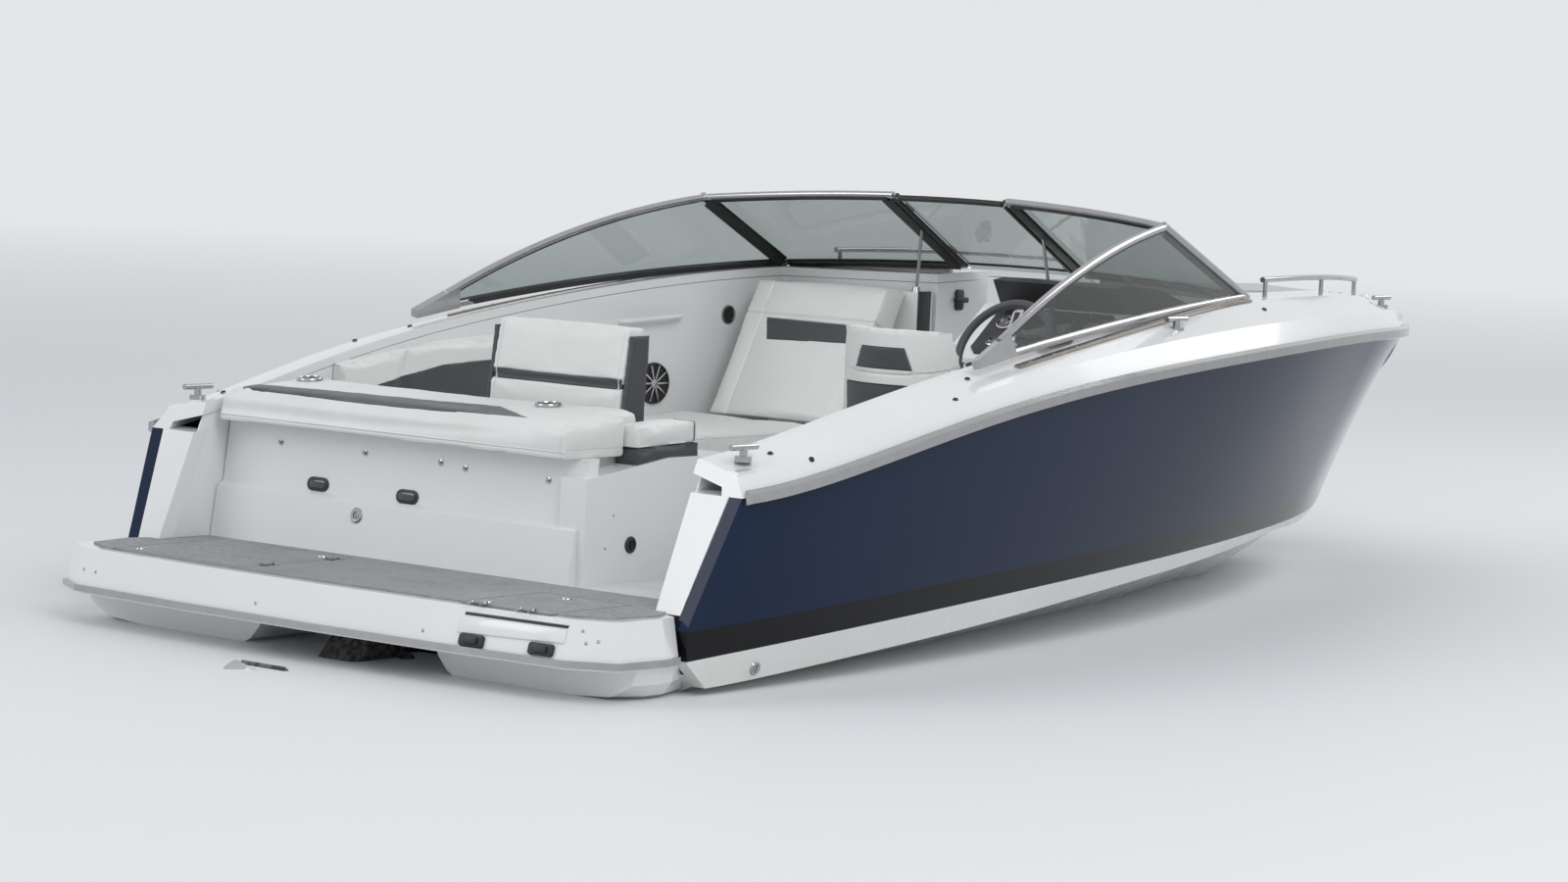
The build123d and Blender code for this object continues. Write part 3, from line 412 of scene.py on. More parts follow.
DRIVE_PAINT = Finish("drive_satin_paint", "drive_paint", (0.012, 0.012, 0.014), (0.05, 0.05, 0.05),
                     0.3, 9.0, (0.3, 0.45), bump=0.05, bump_depth=0.0004, bump_values=PEEL, wear=0.2,
                     film=0.1, film_top=0.05)
ENGINE_IRON = Finish("engine_cast_iron", "engine_iron", (0.05, 0.05, 0.05), (0.1, 0.08, 0.06),
                     0.4, 8.0, (0.5, 0.7), bump=0.4, bump_depth=0.001, bump_values=PLASTIC_GRAIN)

# Nodes that aren't named here are white gelcoat
FINISH_NODES: dict[Finish, str] = {
    NAVY_GEL: "hull_topsides",
    BOTTOM_GEL: "hull_bottom",
    BLACK_GEL: "boot_stripe",
    STAINLESS: "rub_rail platform_rail hinge_fittings windshield_frame cleats bow_rails",
    MAT_GREY: "platform_mat platform_hatch swim_step",
    WHITE_VINYL: "transom_pad aft_seat_cushion aft_backrest aft_bolster port_lounge_cushion coaming_pads "
                 "companion_backrest bow_cushions helm_seat",
    GREY_VINYL: "box_plinth backrest_arms",
    DARK_PLASTIC: "dash_visor helm_column steering_wheel throttle",
    TINTED: "windshield_glass windshield_door",
    LENS: "nav_light",
    PEDESTAL: "helm_seat_pedestal",
    DRIVE_PAINT: "transom_shield drive_gimbal drive_leg",
    PROP_STEEL: "propeller_front propeller_rear",
    ENGINE_IRON: "engine_block",
}


def dress_nodes() -> None:
    """Gives every CAD node that stays its finish."""
    finish_of = {name: finish for finish, names in FINISH_NODES.items() for name in names.split()}
    for name, node in NODES.items():
        finish = finish_of.get(name, WHITE_GEL)
        node.data.materials.clear()
        node.data.materials.append(finish.build())
        log.info("node %s: %s", name, finish.name)


# Modelling moves
def only(piece: bpy.types.Object) -> bpy.types.Object:
    """Selects one object alone and makes it active.

    Args:
        piece: the object.

    Returns:
        The same object.
    """
    if bpy.context.mode != "OBJECT":
        bpy.ops.object.mode_set(mode="OBJECT")
    bpy.ops.object.select_all(action="DESELECT")
    piece.select_set(True)
    bpy.context.view_layer.objects.active = piece
    return piece


def from_mesh(name: str, points: Sequence[Point], edges: Sequence[tuple[int, int]],
              faces: Sequence[Sequence[int]]) -> bpy.types.Object:
    """Makes an object from a short list of points.

    Args:
        name: the object's name.
        points: its corners.
        edges: its loose edges.
        faces: its faces.

    Returns:
        The object, selected alone.
    """
    mesh = bpy.data.meshes.new(name)
    mesh.from_pydata([tuple(p) for p in points], list(edges), [list(f) for f in faces])
    piece = bpy.data.objects.new(name, mesh)
    bpy.context.scene.collection.objects.link(piece)
    return only(piece)


def apply_modifier(piece: bpy.types.Object, kind: str, **values: object) -> None:
    """Adds a modifier with these settings and applies it at once.

    Args:
        piece: the object.
        kind: the modifier's type.
        values: its settings.
    """
    only(piece)
    modifier = piece.modifiers.new(kind.lower(), kind)
    for name, value in values.items():
        setattr(modifier, name, value)
    bpy.ops.object.modifier_apply(modifier=modifier.name)


def tidy_mesh(piece: bpy.types.Object, merge: float = 1e-5) -> None:
    """Merges doubles and turns all faces outwards.

    Args:
        piece: the object.
        merge: points nearer than this become one.
    """
    only(piece)
    bpy.ops.object.mode_set(mode="EDIT")
    bpy.ops.mesh.select_all(action="SELECT")
    bpy.ops.mesh.remove_doubles(threshold=merge)
    bpy.ops.mesh.normals_make_consistent(inside=False)
    bpy.ops.object.mode_set(mode="OBJECT")


def block(name: str, low: Point, high: Point, round_by: float = 0.002,
          segments: int = 3) -> bpy.types.Object:
    """A box with rounded edges.

    Args:
        name: the object's name.
        low: lowest corner.
        high: highest corner.
        round_by: radius of its edges.
        segments: steps of the rounding.

    Returns:
        The object.
    """
    bpy.ops.object.select_all(action="DESELECT")
    middle = [(a + b) / 2.0 for a, b in zip(low, high)]
    bpy.ops.mesh.primitive_cube_add(size=1.0, location=middle)
    piece = bpy.context.object
    piece.name = name
    piece.scale = [b - a for a, b in zip(low, high)]
    bpy.ops.object.transform_apply(location=True, rotation=True, scale=True)
    apply_modifier(piece, "BEVEL", width=round_by, segments=segments, limit_method="ANGLE")
    return piece


def slab(name: str, outline: Sequence[Point], rise: Point, round_by: float = 0.0015) -> bpy.types.Object:
    """A flat outline pulled to a thickness.

    Args:
        name: the object's name.
        outline: corners of the flat outline in order.
        rise: the pull.
        round_by: radius of its edges, or 0.

    Returns:
        The object.
    """
    piece = from_mesh(name, outline, (), [range(len(outline))])
    bpy.ops.object.mode_set(mode="EDIT")
    bpy.ops.mesh.select_all(action="SELECT")
    bpy.ops.mesh.extrude_region_move(TRANSFORM_OT_translate={"value": tuple(rise)})
    bpy.ops.mesh.select_all(action="SELECT")
    bpy.ops.mesh.normals_make_consistent(inside=False)
    bpy.ops.object.mode_set(mode="OBJECT")
    if round_by:
        apply_modifier(piece, "BEVEL", width=round_by, segments=2, limit_method="ANGLE")
    return piece


def turned(name: str, profile: Sequence[Pair], place: Point, axis: Point,
           steps: int = 32) -> bpy.types.Object:
    """A profile spun about an axis.

    Args:
        name: the object's name.
        profile: radius and height of each point, from the axis out and back to it.
        place: where the axis starts.
        axis: its direction.
        steps: faces around.

    Returns:
        The object.
    """
    points = [(r, 0.0, h) for r, h in profile]
    piece = from_mesh(name, points, [(i, i + 1) for i in range(len(points) - 1)], ())
    bpy.ops.object.mode_set(mode="EDIT")
    bpy.ops.mesh.select_all(action="SELECT")
    bpy.ops.mesh.spin(steps=steps, angle=math.tau, center=(0.0, 0.0, 0.0), axis=(0.0, 0.0, 1.0))
    bpy.ops.object.mode_set(mode="OBJECT")
    tidy_mesh(piece)
    turn = Vector(axis).to_track_quat("Z", "Y").to_matrix().to_4x4()
    piece.data.transform(Matrix.Translation(place) @ turn)
    return piece


def tube(name: str, points: Sequence[Point], radius: float, closed: bool = False, smooth: bool = False,
         sides: int = 4) -> bpy.types.Object:
    """A round bar along points.

    Args:
        name: the object's name.
        points: the line it follows.
        radius: its radius.
        closed: whether its ends meet.
        smooth: whether the points are the control points of a smooth line.
        sides: roundness of the section.

    Returns:
        The object.
    """
    data = bpy.data.curves.new(name, "CURVE")
    data.dimensions = "3D"
    data.bevel_depth = radius
    data.bevel_resolution = sides
    data.use_fill_caps = not closed
    spline = data.splines.new("NURBS" if smooth else "POLY")
    spline.points.add(len(points) - 1)
    for target, point in zip(spline.points, points):
        target.co = (*point, 1.0)
    spline.use_cyclic_u = closed
    if smooth:
        spline.order_u = 3
        spline.use_endpoint_u = not closed
    piece = bpy.data.objects.new(name, data)
    bpy.context.scene.collection.objects.link(piece)
    only(piece)
    bpy.ops.object.convert(target="MESH")
    piece = bpy.context.object
    tidy_mesh(piece)
    return piece


def merged(name: str, pieces: Sequence[bpy.types.Object]) -> bpy.types.Object:
    """Joins objects into one piece.

    Args:
        name: the piece's name.
        pieces: the objects.

    Returns:
        The piece.
    """
    only(pieces[0])
    for piece in pieces:
        piece.select_set(True)
    bpy.ops.object.join()
    pieces[0].name = name
    return pieces[0]


def dress(piece: bpy.types.Object, finish: Finish, body: str = HULL, angle: float = 35.0) -> bpy.types.Object:
    """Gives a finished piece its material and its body.

    Args:
        piece: the object.
        finish: its finish.
        body: the body it rides on.
        angle: edges sharper than this stay sharp, in degrees.

    Returns:
        The object.
    """
    only(piece)
    bpy.ops.object.transform_apply(location=True, rotation=True, scale=True)
    bpy.ops.object.shade_smooth_by_angle(angle=math.radians(angle))
    if not piece.data.materials:
        piece.data.materials.append(finish.build())
    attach(piece, body)
    log.info("piece %s rides on %s: %s", piece.name, body, finish.name)
    return piece


# Soft goods
PANEL_CHANNEL = 0.004
REST_DOT = 0.75
PANEL_DOT = -0.15
ON_SEAM = 2e-5
ON_PANEL = 2e-4
CLOTH_STIFFNESS = 20.0
SHORTEST_BEAD = 8
BROAD_WAVES = 9.0
FINE_WAVES = 23.0


@dataclass(frozen=True)
class Panel:
    """A sewn-in panel: a convex outline seen along a direction."""

    outline: tuple[Point, ...]
    look: Point
    finish: Finish
    groove: float = 0.004

    def sides(self) -> list[Hit]:
        """Planes through the outline's sides, with normals that point away from its middle.

        Returns:
            Place and normal of each plane.
        """
        corners = [Vector(p) for p in self.outline]
        centre = sum(corners, Vector()) / len(corners)
        planes = []
        for a, b in zip(corners, corners[1:] + corners[:1]):
            normal = (b - a).cross(Vector(self.look)).normalized()
            if (centre - a).dot(normal) > 0.0:
                normal.negate()
            planes.append((a, normal))
        return planes


@dataclass(frozen=True)
class Seam:
    """A sewn channel where a plane cuts the pad, with or without a bead in it."""

    place: Point
    normal: Point
    depth: float = 0.006
    bead: float = 0.0
    bead_finish: Finish = WHITE_VINYL


@dataclass
class Pad:
    """A padded piece that swells from the room its CAD solid holds."""

    node: str
    finish: Finish = WHITE_VINYL
    body: str = HULL
    rests: tuple[Point, ...] = ((0.0, 0.0, -1.0),)
    seams: tuple[Seam, ...] = ()
    panels: tuple[Panel, ...] = ()
    voxel: float = 0.01
    shrink: float = 0.006
    swell: float = 0.012
    pressure: float = 4.0
    soft: float = 0.0015
    fill: float = 0.7
    frames: int = 16
    channel: float = 0.009

    def _start(self) -> bpy.types.Object:
        """Copies the solid, closes it and gives it an even skin.

        Returns:
            The copy.
        """
        mesh = NODES[self.node].data.copy()
        piece = bpy.data.objects.new(self.node + "_padded", mesh)
        piece.matrix_world = NODES[self.node].matrix_world.copy()
        bpy.context.scene.collection.objects.link(piece)
        only(piece)
        bpy.ops.object.transform_apply(location=True, rotation=True, scale=True)
        tidy_mesh(piece)
        apply_modifier(piece, "REMESH", mode="VOXEL", voxel_size=self.voxel)
        return piece

    def _held(self, normal: Vector) -> bool:
        """Whether a face with this normal rests on something."""
        return any(normal.dot(Vector(way).normalized()) > REST_DOT for way in self.rests)

    def _draw_in(self, piece: bpy.types.Object) -> None:
        """Starts the skin a little inside the solid and marks what is held.

        Args:
            piece: the skin.
        """
        mesh = piece.data
        moves = [(Vector() if self._held(v.normal) else v.normal * -self.shrink) for v in mesh.vertices]
        for vertex, move in zip(mesh.vertices, moves):
            vertex.co += move
        mesh.update()
        held = piece.vertex_groups.new(name="held")
        for vertex in mesh.vertices:
            sewn = any(abs((vertex.co - Vector(s.place)).dot(Vector(s.normal).normalized()))
                       < self.voxel * 0.6 for s in self.seams)
            if sewn or self._held(vertex.normal):
                held.add([vertex.index], 1.0, "REPLACE")

    def _blow(self, piece: bpy.types.Object) -> None:
        """Swells the skin as cloth under pressure, within the cap.

        Args:
            piece: the skin.
        """
        start = [v.co.copy() for v in piece.data.vertices]
        cloth = piece.modifiers.new("air", "CLOTH")
        cloth.settings.use_pressure = True
        cloth.settings.uniform_pressure_force = self.pressure
        cloth.settings.quality = 4
        cloth.settings.tension_stiffness = CLOTH_STIFFNESS
        cloth.settings.compression_stiffness = CLOTH_STIFFNESS
        cloth.settings.bending_stiffness = 1.0
        cloth.settings.vertex_group_mass = "held"
        cloth.settings.effector_weights.gravity = 0.0
        cloth.collision_settings.use_collision = False
        cloth.point_cache.frame_start = 1
        cloth.point_cache.frame_end = self.frames
        for frame_number in range(1, self.frames + 1):
            bpy.context.scene.frame_set(frame_number)
        solved = piece.evaluated_get(bpy.context.evaluated_depsgraph_get())
        ends = [v.co.copy() for v in solved.data.vertices]
        piece.modifiers.remove(cloth)
        bpy.context.scene.frame_set(1)
        normals = [v.normal.copy() for v in piece.data.vertices]
        for vertex, normal, a, b in zip(piece.data.vertices, normals, start, ends):
            move = b - a
            if move.length > self.swell:
                move *= self.swell / move.length
            free = 0.0 if self._held(normal) else 1.0
            soft = noise.noise(a * BROAD_WAVES) + 0.5 * noise.noise(a * FINE_WAVES)
            vertex.co = a + move + normal * (self.soft * soft * free)
        piece.data.update()

    def _cuts(self) -> list[Hit]:
        """Planes that cut clean rows of points for the channels.

        Returns:
            Place and normal of each plane.
        """
        planes = []
        for seam in self.seams:
            normal = Vector(seam.normal).normalized()
            for row in (-self.channel, 0.0, self.channel):
                planes.append((Vector(seam.place) + normal * row, normal))
        for panel in self.panels:
            for place, normal in panel.sides():
                planes += [(place + normal * row, normal) for row in (-PANEL_CHANNEL, 0.0, PANEL_CHANNEL)]
        return planes

    def _cut(self, piece: bpy.types.Object) -> None:
        """Cuts the skin along all planes.

        Args:
            piece: the skin.
        """
        skin = bmesh.new()
        skin.from_mesh(piece.data)
        for place, normal in self._cuts():
            geometry = skin.verts[:] + skin.edges[:] + skin.faces[:]
            bmesh.ops.bisect_plane(skin, geom=geometry, dist=1e-5, plane_co=place, plane_no=normal)
        skin.to_mesh(piece.data)
        skin.free()
        piece.data.update()

    def _sew(self, piece: bpy.types.Object, seam: Seam) -> None:
        """Draws the skin in along a seam and lays its bead.

        Args:
            piece: the skin.
            seam: the seam.
        """
        place, normal = Vector(seam.place), Vector(seam.normal).normalized()
        line = [v.index for v in piece.data.vertices if abs((v.co - place).dot(normal)) < ON_SEAM]
        moves = {i: piece.data.vertices[i].normal * -seam.depth for i in line
                 if not self._held(piece.data.vertices[i].normal)}
        if seam.bead:
            self._bead(piece, set(line), seam)
        for index, move in moves.items():
            piece.data.vertices[index].co += move

    def _bead(self, piece: bpy.types.Object, line: set[int], seam: Seam) -> None:
        """Lays a round bead along each loop of a seam.

        Args:
            piece: the skin.
            line: the points on the seam.
            seam: the seam.
        """
        links: dict[int, list[int]] = {}
        for edge in piece.data.edges:
            a, b = edge.vertices
            if a in line and b in line:
                links.setdefault(a, []).append(b)
                links.setdefault(b, []).append(a)
        left, beads = set(links), []
        while left:
            start = min((i for i in left if len(links[i]) == 1), default=min(left))
            path, here = [start], start
            left.discard(start)
            while True:
                following = [i for i in links[here] if i in left]
                if not following:
                    break
                here = min(following)
                left.discard(here)
                path.append(here)
            if len(path) > SHORTEST_BEAD:
                points = [piece.data.vertices[i].co - piece.data.vertices[i].normal * (seam.bead * 0.4)
                          for i in path[::2]]
                beads.append(tube("bead", points, seam.bead, closed=path[0] in links[path[-1]], sides=2))
        if beads:
            start_of_name = self.node + "_bead_"
            laid = sum(other.name.startswith(start_of_name) for other in bpy.data.objects)
            dress(merged(f"{start_of_name}{laid}", beads), seam.bead_finish, self.body, 80.0)

    def _set_in(self, piece: bpy.types.Object, panel: Panel) -> None:
        """Draws the skin in round a panel and gives the panel its finish.

        Args:
            piece: the skin.
            panel: the panel.
        """
        look = Vector(panel.look).normalized()
        sides = panel.sides()
        piece.data.materials.append(panel.finish.build())
        number = len(piece.data.materials) - 1
        for face in piece.data.polygons:
            if face.normal.dot(look) < PANEL_DOT and all((face.center - a).dot(n) < 1e-4 for a, n in sides):
                face.material_index = number
        moves = {}
        for vertex in piece.data.vertices:
            depths = [(vertex.co - a).dot(n) for a, n in sides]
            if abs(max(depths)) < ON_PANEL and vertex.normal.dot(look) < PANEL_DOT:
                moves[vertex.index] = vertex.normal * panel.groove
        for index, move in moves.items():
            piece.data.vertices[index].co -= move

    def build(self) -> bpy.types.Object:
        """Returns:
            The piece.
        """
        piece = self._start()
        self._draw_in(piece)
        self._blow(piece)
        piece.data.materials.clear()
        piece.data.materials.append(self.finish.build())
        for face in piece.data.polygons:
            face.material_index = 0
        self._cut(piece)
        for seam in self.seams:
            self._sew(piece, seam)
        for panel in self.panels:
            self._set_in(piece, panel)
        piece.data.update()
        piece.vertex_groups.clear()
        dress(piece, self.finish, self.body, 60.0)
        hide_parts(self.node)
        return piece


ACROSS_X: Point = (1.0, 0.0, 0.0)
ACROSS_Y: Point = (0.0, 1.0, 0.0)
PADS: tuple[Pad, ...] = (
    Pad("transom_pad", voxel=0.0095, shrink=0.006, swell=0.011,
        seams=(Seam((0.8, -0.45, 0.68), ACROSS_Y, 0.004, 0.0028),
               Seam((0.6, 0.0, 0.632), UP, 0.003, 0.0025)),
        panels=(Panel(((0.66, -0.27, 0.72), (0.8, -0.04, 0.73), (0.795, 0.1, 0.73), (0.73, 0.93, 0.73),
                       (0.66, 0.93, 0.72)), DOWN, GREY_VINYL),)),
    Pad("box_plinth", GREY_VINYL, voxel=0.006, shrink=0.004, swell=0.006),
    Pad("aft_bolster", voxel=0.006, shrink=0.004, swell=0.008,
        seams=(Seam((1.158, -0.47, 0.68), ACROSS_X, 0.003, 0.003, GREY_VINYL),)),
    Pad("aft_seat_cushion", voxel=0.012,
        seams=(Seam((1.46, 0.3, 0.5), ACROSS_X, 0.008), Seam((1.46, 0.37, 0.5), ACROSS_Y, 0.008),
               Seam((1.46, 0.37, 0.542), UP, 0.002, 0.0025))),
    Pad("aft_backrest", rests=(), voxel=0.007, shrink=0.004, swell=0.009,
        seams=(Seam((1.1, -0.282, 0.9), ACROSS_Y, 0.003, 0.002),
               Seam((1.1, 0.217, 0.9), ACROSS_Y, 0.003, 0.002)),
        panels=(Panel(((1.05, -0.3, 0.795), (1.05, 0.235, 0.795), (1.05, 0.235, 0.824),
                       (1.05, -0.3, 0.824)), ACROSS_X, GREY_VINYL),)),
    Pad("backrest_arms", GREY_VINYL, rests=(), voxel=0.004, shrink=0.001, swell=0.002),
    Pad("port_lounge_cushion", voxel=0.013,
        seams=(Seam((2.3, 0.6, 0.5), ACROSS_X, 0.012), Seam((2.3, 0.6, 0.542), UP, 0.002, 0.0025),
               Seam((2.3, 0.62, 0.5), ACROSS_Y, 0.006))),
    Pad("coaming_pads", rests=(ACROSS_Y,), voxel=0.007, shrink=0.003, swell=0.01,
        seams=(Seam((1.52, 1.05, 0.74), (1.0, 0.0, -0.25), 0.006),),
        panels=(Panel(((1.19, 1.05, 0.655), (1.475, 1.05, 0.714), (1.709, 1.05, 0.754),
                       (1.982, 1.05, 0.768), (1.93, 1.05, 0.6), (1.19, 1.05, 0.6)),
                      ACROSS_Y, GREY_VINYL),)),
    Pad("companion_backrest", rests=(ACROSS_X, DOWN), voxel=0.0095, swell=0.014,
        seams=(Seam((3.12, 0.5, 0.945), (0.5, 0.0, 1.0), 0.006), Seam((3.1, 0.8, 0.8), ACROSS_Y, 0.005)),
        panels=(Panel(((3.1, 0.775, 0.927), (3.1, 0.30, 0.925), (3.1, 0.335, 0.85), (3.1, 0.735, 0.838)),
                      (1.0, 0.0, -0.3), GREY_VINYL),)),
    Pad("bow_cushions", voxel=0.012,
        seams=(Seam((4.2, 0.0, 0.6), ACROSS_X, 0.008), Seam((4.7, 0.0, 0.6), ACROSS_X, 0.008),
               Seam((4.2, 0.0, 0.634), UP, 0.002, 0.0025))),
    Pad("helm_seat", body="helm_seat", voxel=0.009, swell=0.014,
        seams=(Seam((2.0, -0.7, 0.585), UP, 0.006, 0.0025),
               Seam((1.8, -0.7, 0.845), (-0.25, 0.0, 1.0), 0.005)),
        panels=(Panel(((1.75, -0.617, 0.94), (1.75, -0.783, 0.94), (1.75, -0.81, 0.87),
                       (1.75, -0.59, 0.87)), ACROSS_X, GREY_VINYL),
                Panel(((1.75, -0.53, 0.822), (1.75, -0.87, 0.822), (1.75, -0.85, 0.66),
                       (1.75, -0.55, 0.66)), ACROSS_X, GREY_VINYL, 0.008))),
)


# Places on the CAD nodes
@dataclass(frozen=True)
class Sight:
    """Lines of sight through the picture, met with the CAD nodes."""

    eye: Point = (-8.532, -8.296, 1.697)
    yaw: float = 0.654826
    pitch: float = -0.0829666
    roll: float = 0.0455152
    lens: float = 93.9
    sensor: float = 36.0
    size: Pair = (1600.0, 900.0)

    def axes(self) -> Station:
        """Right, up and forward of the camera."""
        cy, sy = math.cos(self.yaw), math.sin(self.yaw)
        cp, sp = math.cos(self.pitch), math.sin(self.pitch)
        forward = Vector((cy * cp, sy * cp, sp))
        side = Vector((sy, -cy, 0.0))
        up = side.cross(forward)
        right = side * math.cos(self.roll) + up * math.sin(self.roll)
        above = up * math.cos(self.roll) - side * math.sin(self.roll)
        return right, above, forward

    def meet(self, px: float, py: float, *nodes: str) -> Hit:
        """The first point of these nodes along the line through a place in the picture.

        Args:
            px: place across the picture.
            py: place down the picture.
            nodes: the CAD nodes tried.

        Returns:
            The point and the surface's normal there.
        """
        right, above, forward = self.axes()
        scale = self.lens / self.sensor * self.size[0]
        u = (px - self.size[0] / 2.0) / scale
        v = (py - self.size[1] / 2.0) / scale
        return meet_line(Vector(self.eye), forward + right * u - above * v, *nodes)


def meet_line(start: Vector, way: Vector, *nodes: str) -> Hit:
    """The first point of these nodes along a line.

    Args:
        start: where the line starts.
        way: its direction.
        nodes: the CAD nodes tried.

    Returns:
        The point and the surface's normal there.
    """
    found = []
    for name in nodes:
        node = bpy.data.objects.get(f"{name}_padded") or NODES[name]
        back = node.matrix_world.inverted()
        hit, place, normal, _ = node.ray_cast(back @ start, (back.to_3x3() @ way).normalized())
        if hit:
            place = node.matrix_world @ place
            normal = (node.matrix_world.to_3x3() @ normal).normalized()
            found.append(((place - start).length, place, normal))
    if not found:
        raise ValueError(f"no node of {nodes} on the line from {tuple(start)} along {tuple(way)}")
    return min(found, key=lambda f: f[0])[1:]


SIGHT = Sight()
SHELL = ("transom_wall", "deck", "swim_platform", "platform_mat", "hull_topsides", "hull_bottom",
         "boot_stripe", "cockpit_liner", "port_console", "helm_console")


def stamp(name: str, outline: Sequence[Pair], place: Vector, normal: Vector, depth: float,
          up: Point = UP, round_by: float = 0.0015, sink: float = 0.001) -> bpy.types.Object:
    """A flat plate of some outline, set on a surface.

    Args:
        name: the object's name.
        outline: across and up of each corner.
        place: its middle on the surface.
        normal: the surface's normal.
        depth: how far it stands out.
        up: roughly its upward direction.
        round_by: radius of its edges.
        sink: how far it goes into the surface.

    Returns:
        The object.
    """
    across = Vector(up).cross(normal).normalized()
    rise = normal.cross(across).normalized()
    corners = [place - normal * sink + across * u + rise * v for u, v in outline]
    return slab(name, corners, normal * (depth + sink), round_by)


def stadium(length: float, height: float, steps: int = 7) -> list[Pair]:
    """Outline of a bar with round ends.

    Args:
        length: over all.
        height: over all.
        steps: points of each round end.

    Returns:
        Across and up of each corner.
    """
    r = height / 2.0
    points = []
    for side, start in ((1.0, -90.0), (-1.0, 90.0)):
        for i in range(steps):
            a = math.radians(start + 180.0 * i / (steps - 1))
            points.append((side * (length / 2.0 - r) + r * math.cos(a), r * math.sin(a)))
    return points


def rectangle(width: float, height: float, corner: float = 0.0) -> list[Pair]:
    """Outline of a rectangle with cut corners.

    Args:
        width: over all.
        height: over all.
        corner: how much of each corner is cut, or 0.

    Returns:
        Across and up of each corner.
    """
    w, h, c = width / 2.0, height / 2.0, corner
    if not c:
        return [(-w, -h), (w, -h), (w, h), (-w, h)]
    half = [(-w + c, -h), (w - c, -h), (w, -h + c), (w, h - c)]
    return half + [(-u, -v) for u, v in half]


def stud(place: Vector, normal: Vector, r: float, rise: float) -> bpy.types.Object:
    """A domed screw head with a socket in it.

    Args:
        place: on the surface.
        normal: the surface's normal.
        r: its radius.
        rise: its height.

    Returns:
        The object.
    """
    profile = [(0.0, rise * 0.45), (r * 0.4, rise * 0.45), (r * 0.45, rise), (r * 0.8, rise * 0.8),
               (r, rise * 0.3), (r, -0.001), (0.0, -0.001)]
    return turned("stud", profile, place, normal, 12)


def studs(name: str, spots: Sequence[Hit], r: float, rise: float,
          finish: Finish) -> bpy.types.Object:
    """Screw heads joined into one piece.

    Args:
        name: the piece's name.
        spots: place and normal of each.
        r: radius of a head.
        rise: its height.
        finish: the finish.

    Returns:
        The piece.
    """
    return dress(merged(name, [stud(p, n, r, rise) for p, n in spots]), finish, angle=50.0)


def sweep(name: str, stations: Sequence[Station], width: float, thick: float,
          round_by: float = 0.0015) -> bpy.types.Object:
    """A flat bar through stations.

    Args:
        name: the object's name.
        stations: middle, width direction and thickness direction of each section.
        width: width of the bar.
        thick: its thickness.
        round_by: radius of its edges.

    Returns:
        The object.
    """
    points = []
    for middle, wide, deep in stations:
        a, b = wide.normalized() * (width / 2.0), deep.normalized() * (thick / 2.0)
        points += [middle + a + b, middle - a + b, middle - a - b, middle + a - b]
    faces = [(0, 1, 2, 3), tuple(len(points) - 4 + i for i in (3, 2, 1, 0))]
    for i in range(len(stations) - 1):
        for j in range(4):
            k = (j + 1) % 4
            faces.append((4 * i + j, 4 * i + 4 + j, 4 * i + 4 + k, 4 * i + k))
    piece = from_mesh(name, points, (), faces)
    tidy_mesh(piece)
    if round_by:
        apply_modifier(piece, "BEVEL", width=round_by, segments=2, limit_method="ANGLE")
    return piece


@dataclass(frozen=True)
class Arc:
    """The arc through three points."""

    start: Point
    middle: Point
    end: Point

    def frame(self) -> tuple[Vector, Vector, Vector, float]:
        """Centre, two axes times the radius, and the arc's angle."""
        a, m, b = Vector(self.start), Vector(self.middle), Vector(self.end)
        u, v = m - a, b - a
        w = u.cross(v)
        across = w.cross(u) * v.length_squared + v.cross(w) * u.length_squared
        centre = a + across / (2.0 * w.length_squared)
        x = a - centre
        y = w.normalized().cross(x)
        angle = math.atan2((b - centre).dot(y), (b - centre).dot(x)) % math.tau
        return centre, x, y, angle

    def at(self, t: float) -> Vector:
        """The point at a share t of the arc."""
        centre, x, y, angle = self.frame()
        return centre + x * math.cos(angle * t) + y * math.sin(angle * t)

    def mirrored(self) -> "Arc":
        """The same arc on the other side of the centreline."""
        return Arc(*[(p[0], -p[1], p[2]) for p in (self.start, self.middle, self.end)])


def spread(t0: float, t1: float, count: int) -> list[float]:
    """Even shares from t0 to t1."""
    return [t0 + (t1 - t0) * i / (count - 1) for i in range(count)]


STAY_FOOT = ((0.0, 0.004), (0.008, 0.004), (0.012, 0.018), (0.016, 0.004), (0.018, 0.0),
             (0.018, -0.001), (0.0, -0.001))
STAY_EYE = ((0.0, 0.006), (0.008, 0.005), (0.011, 0.0), (0.008, -0.005), (0.0, -0.006))


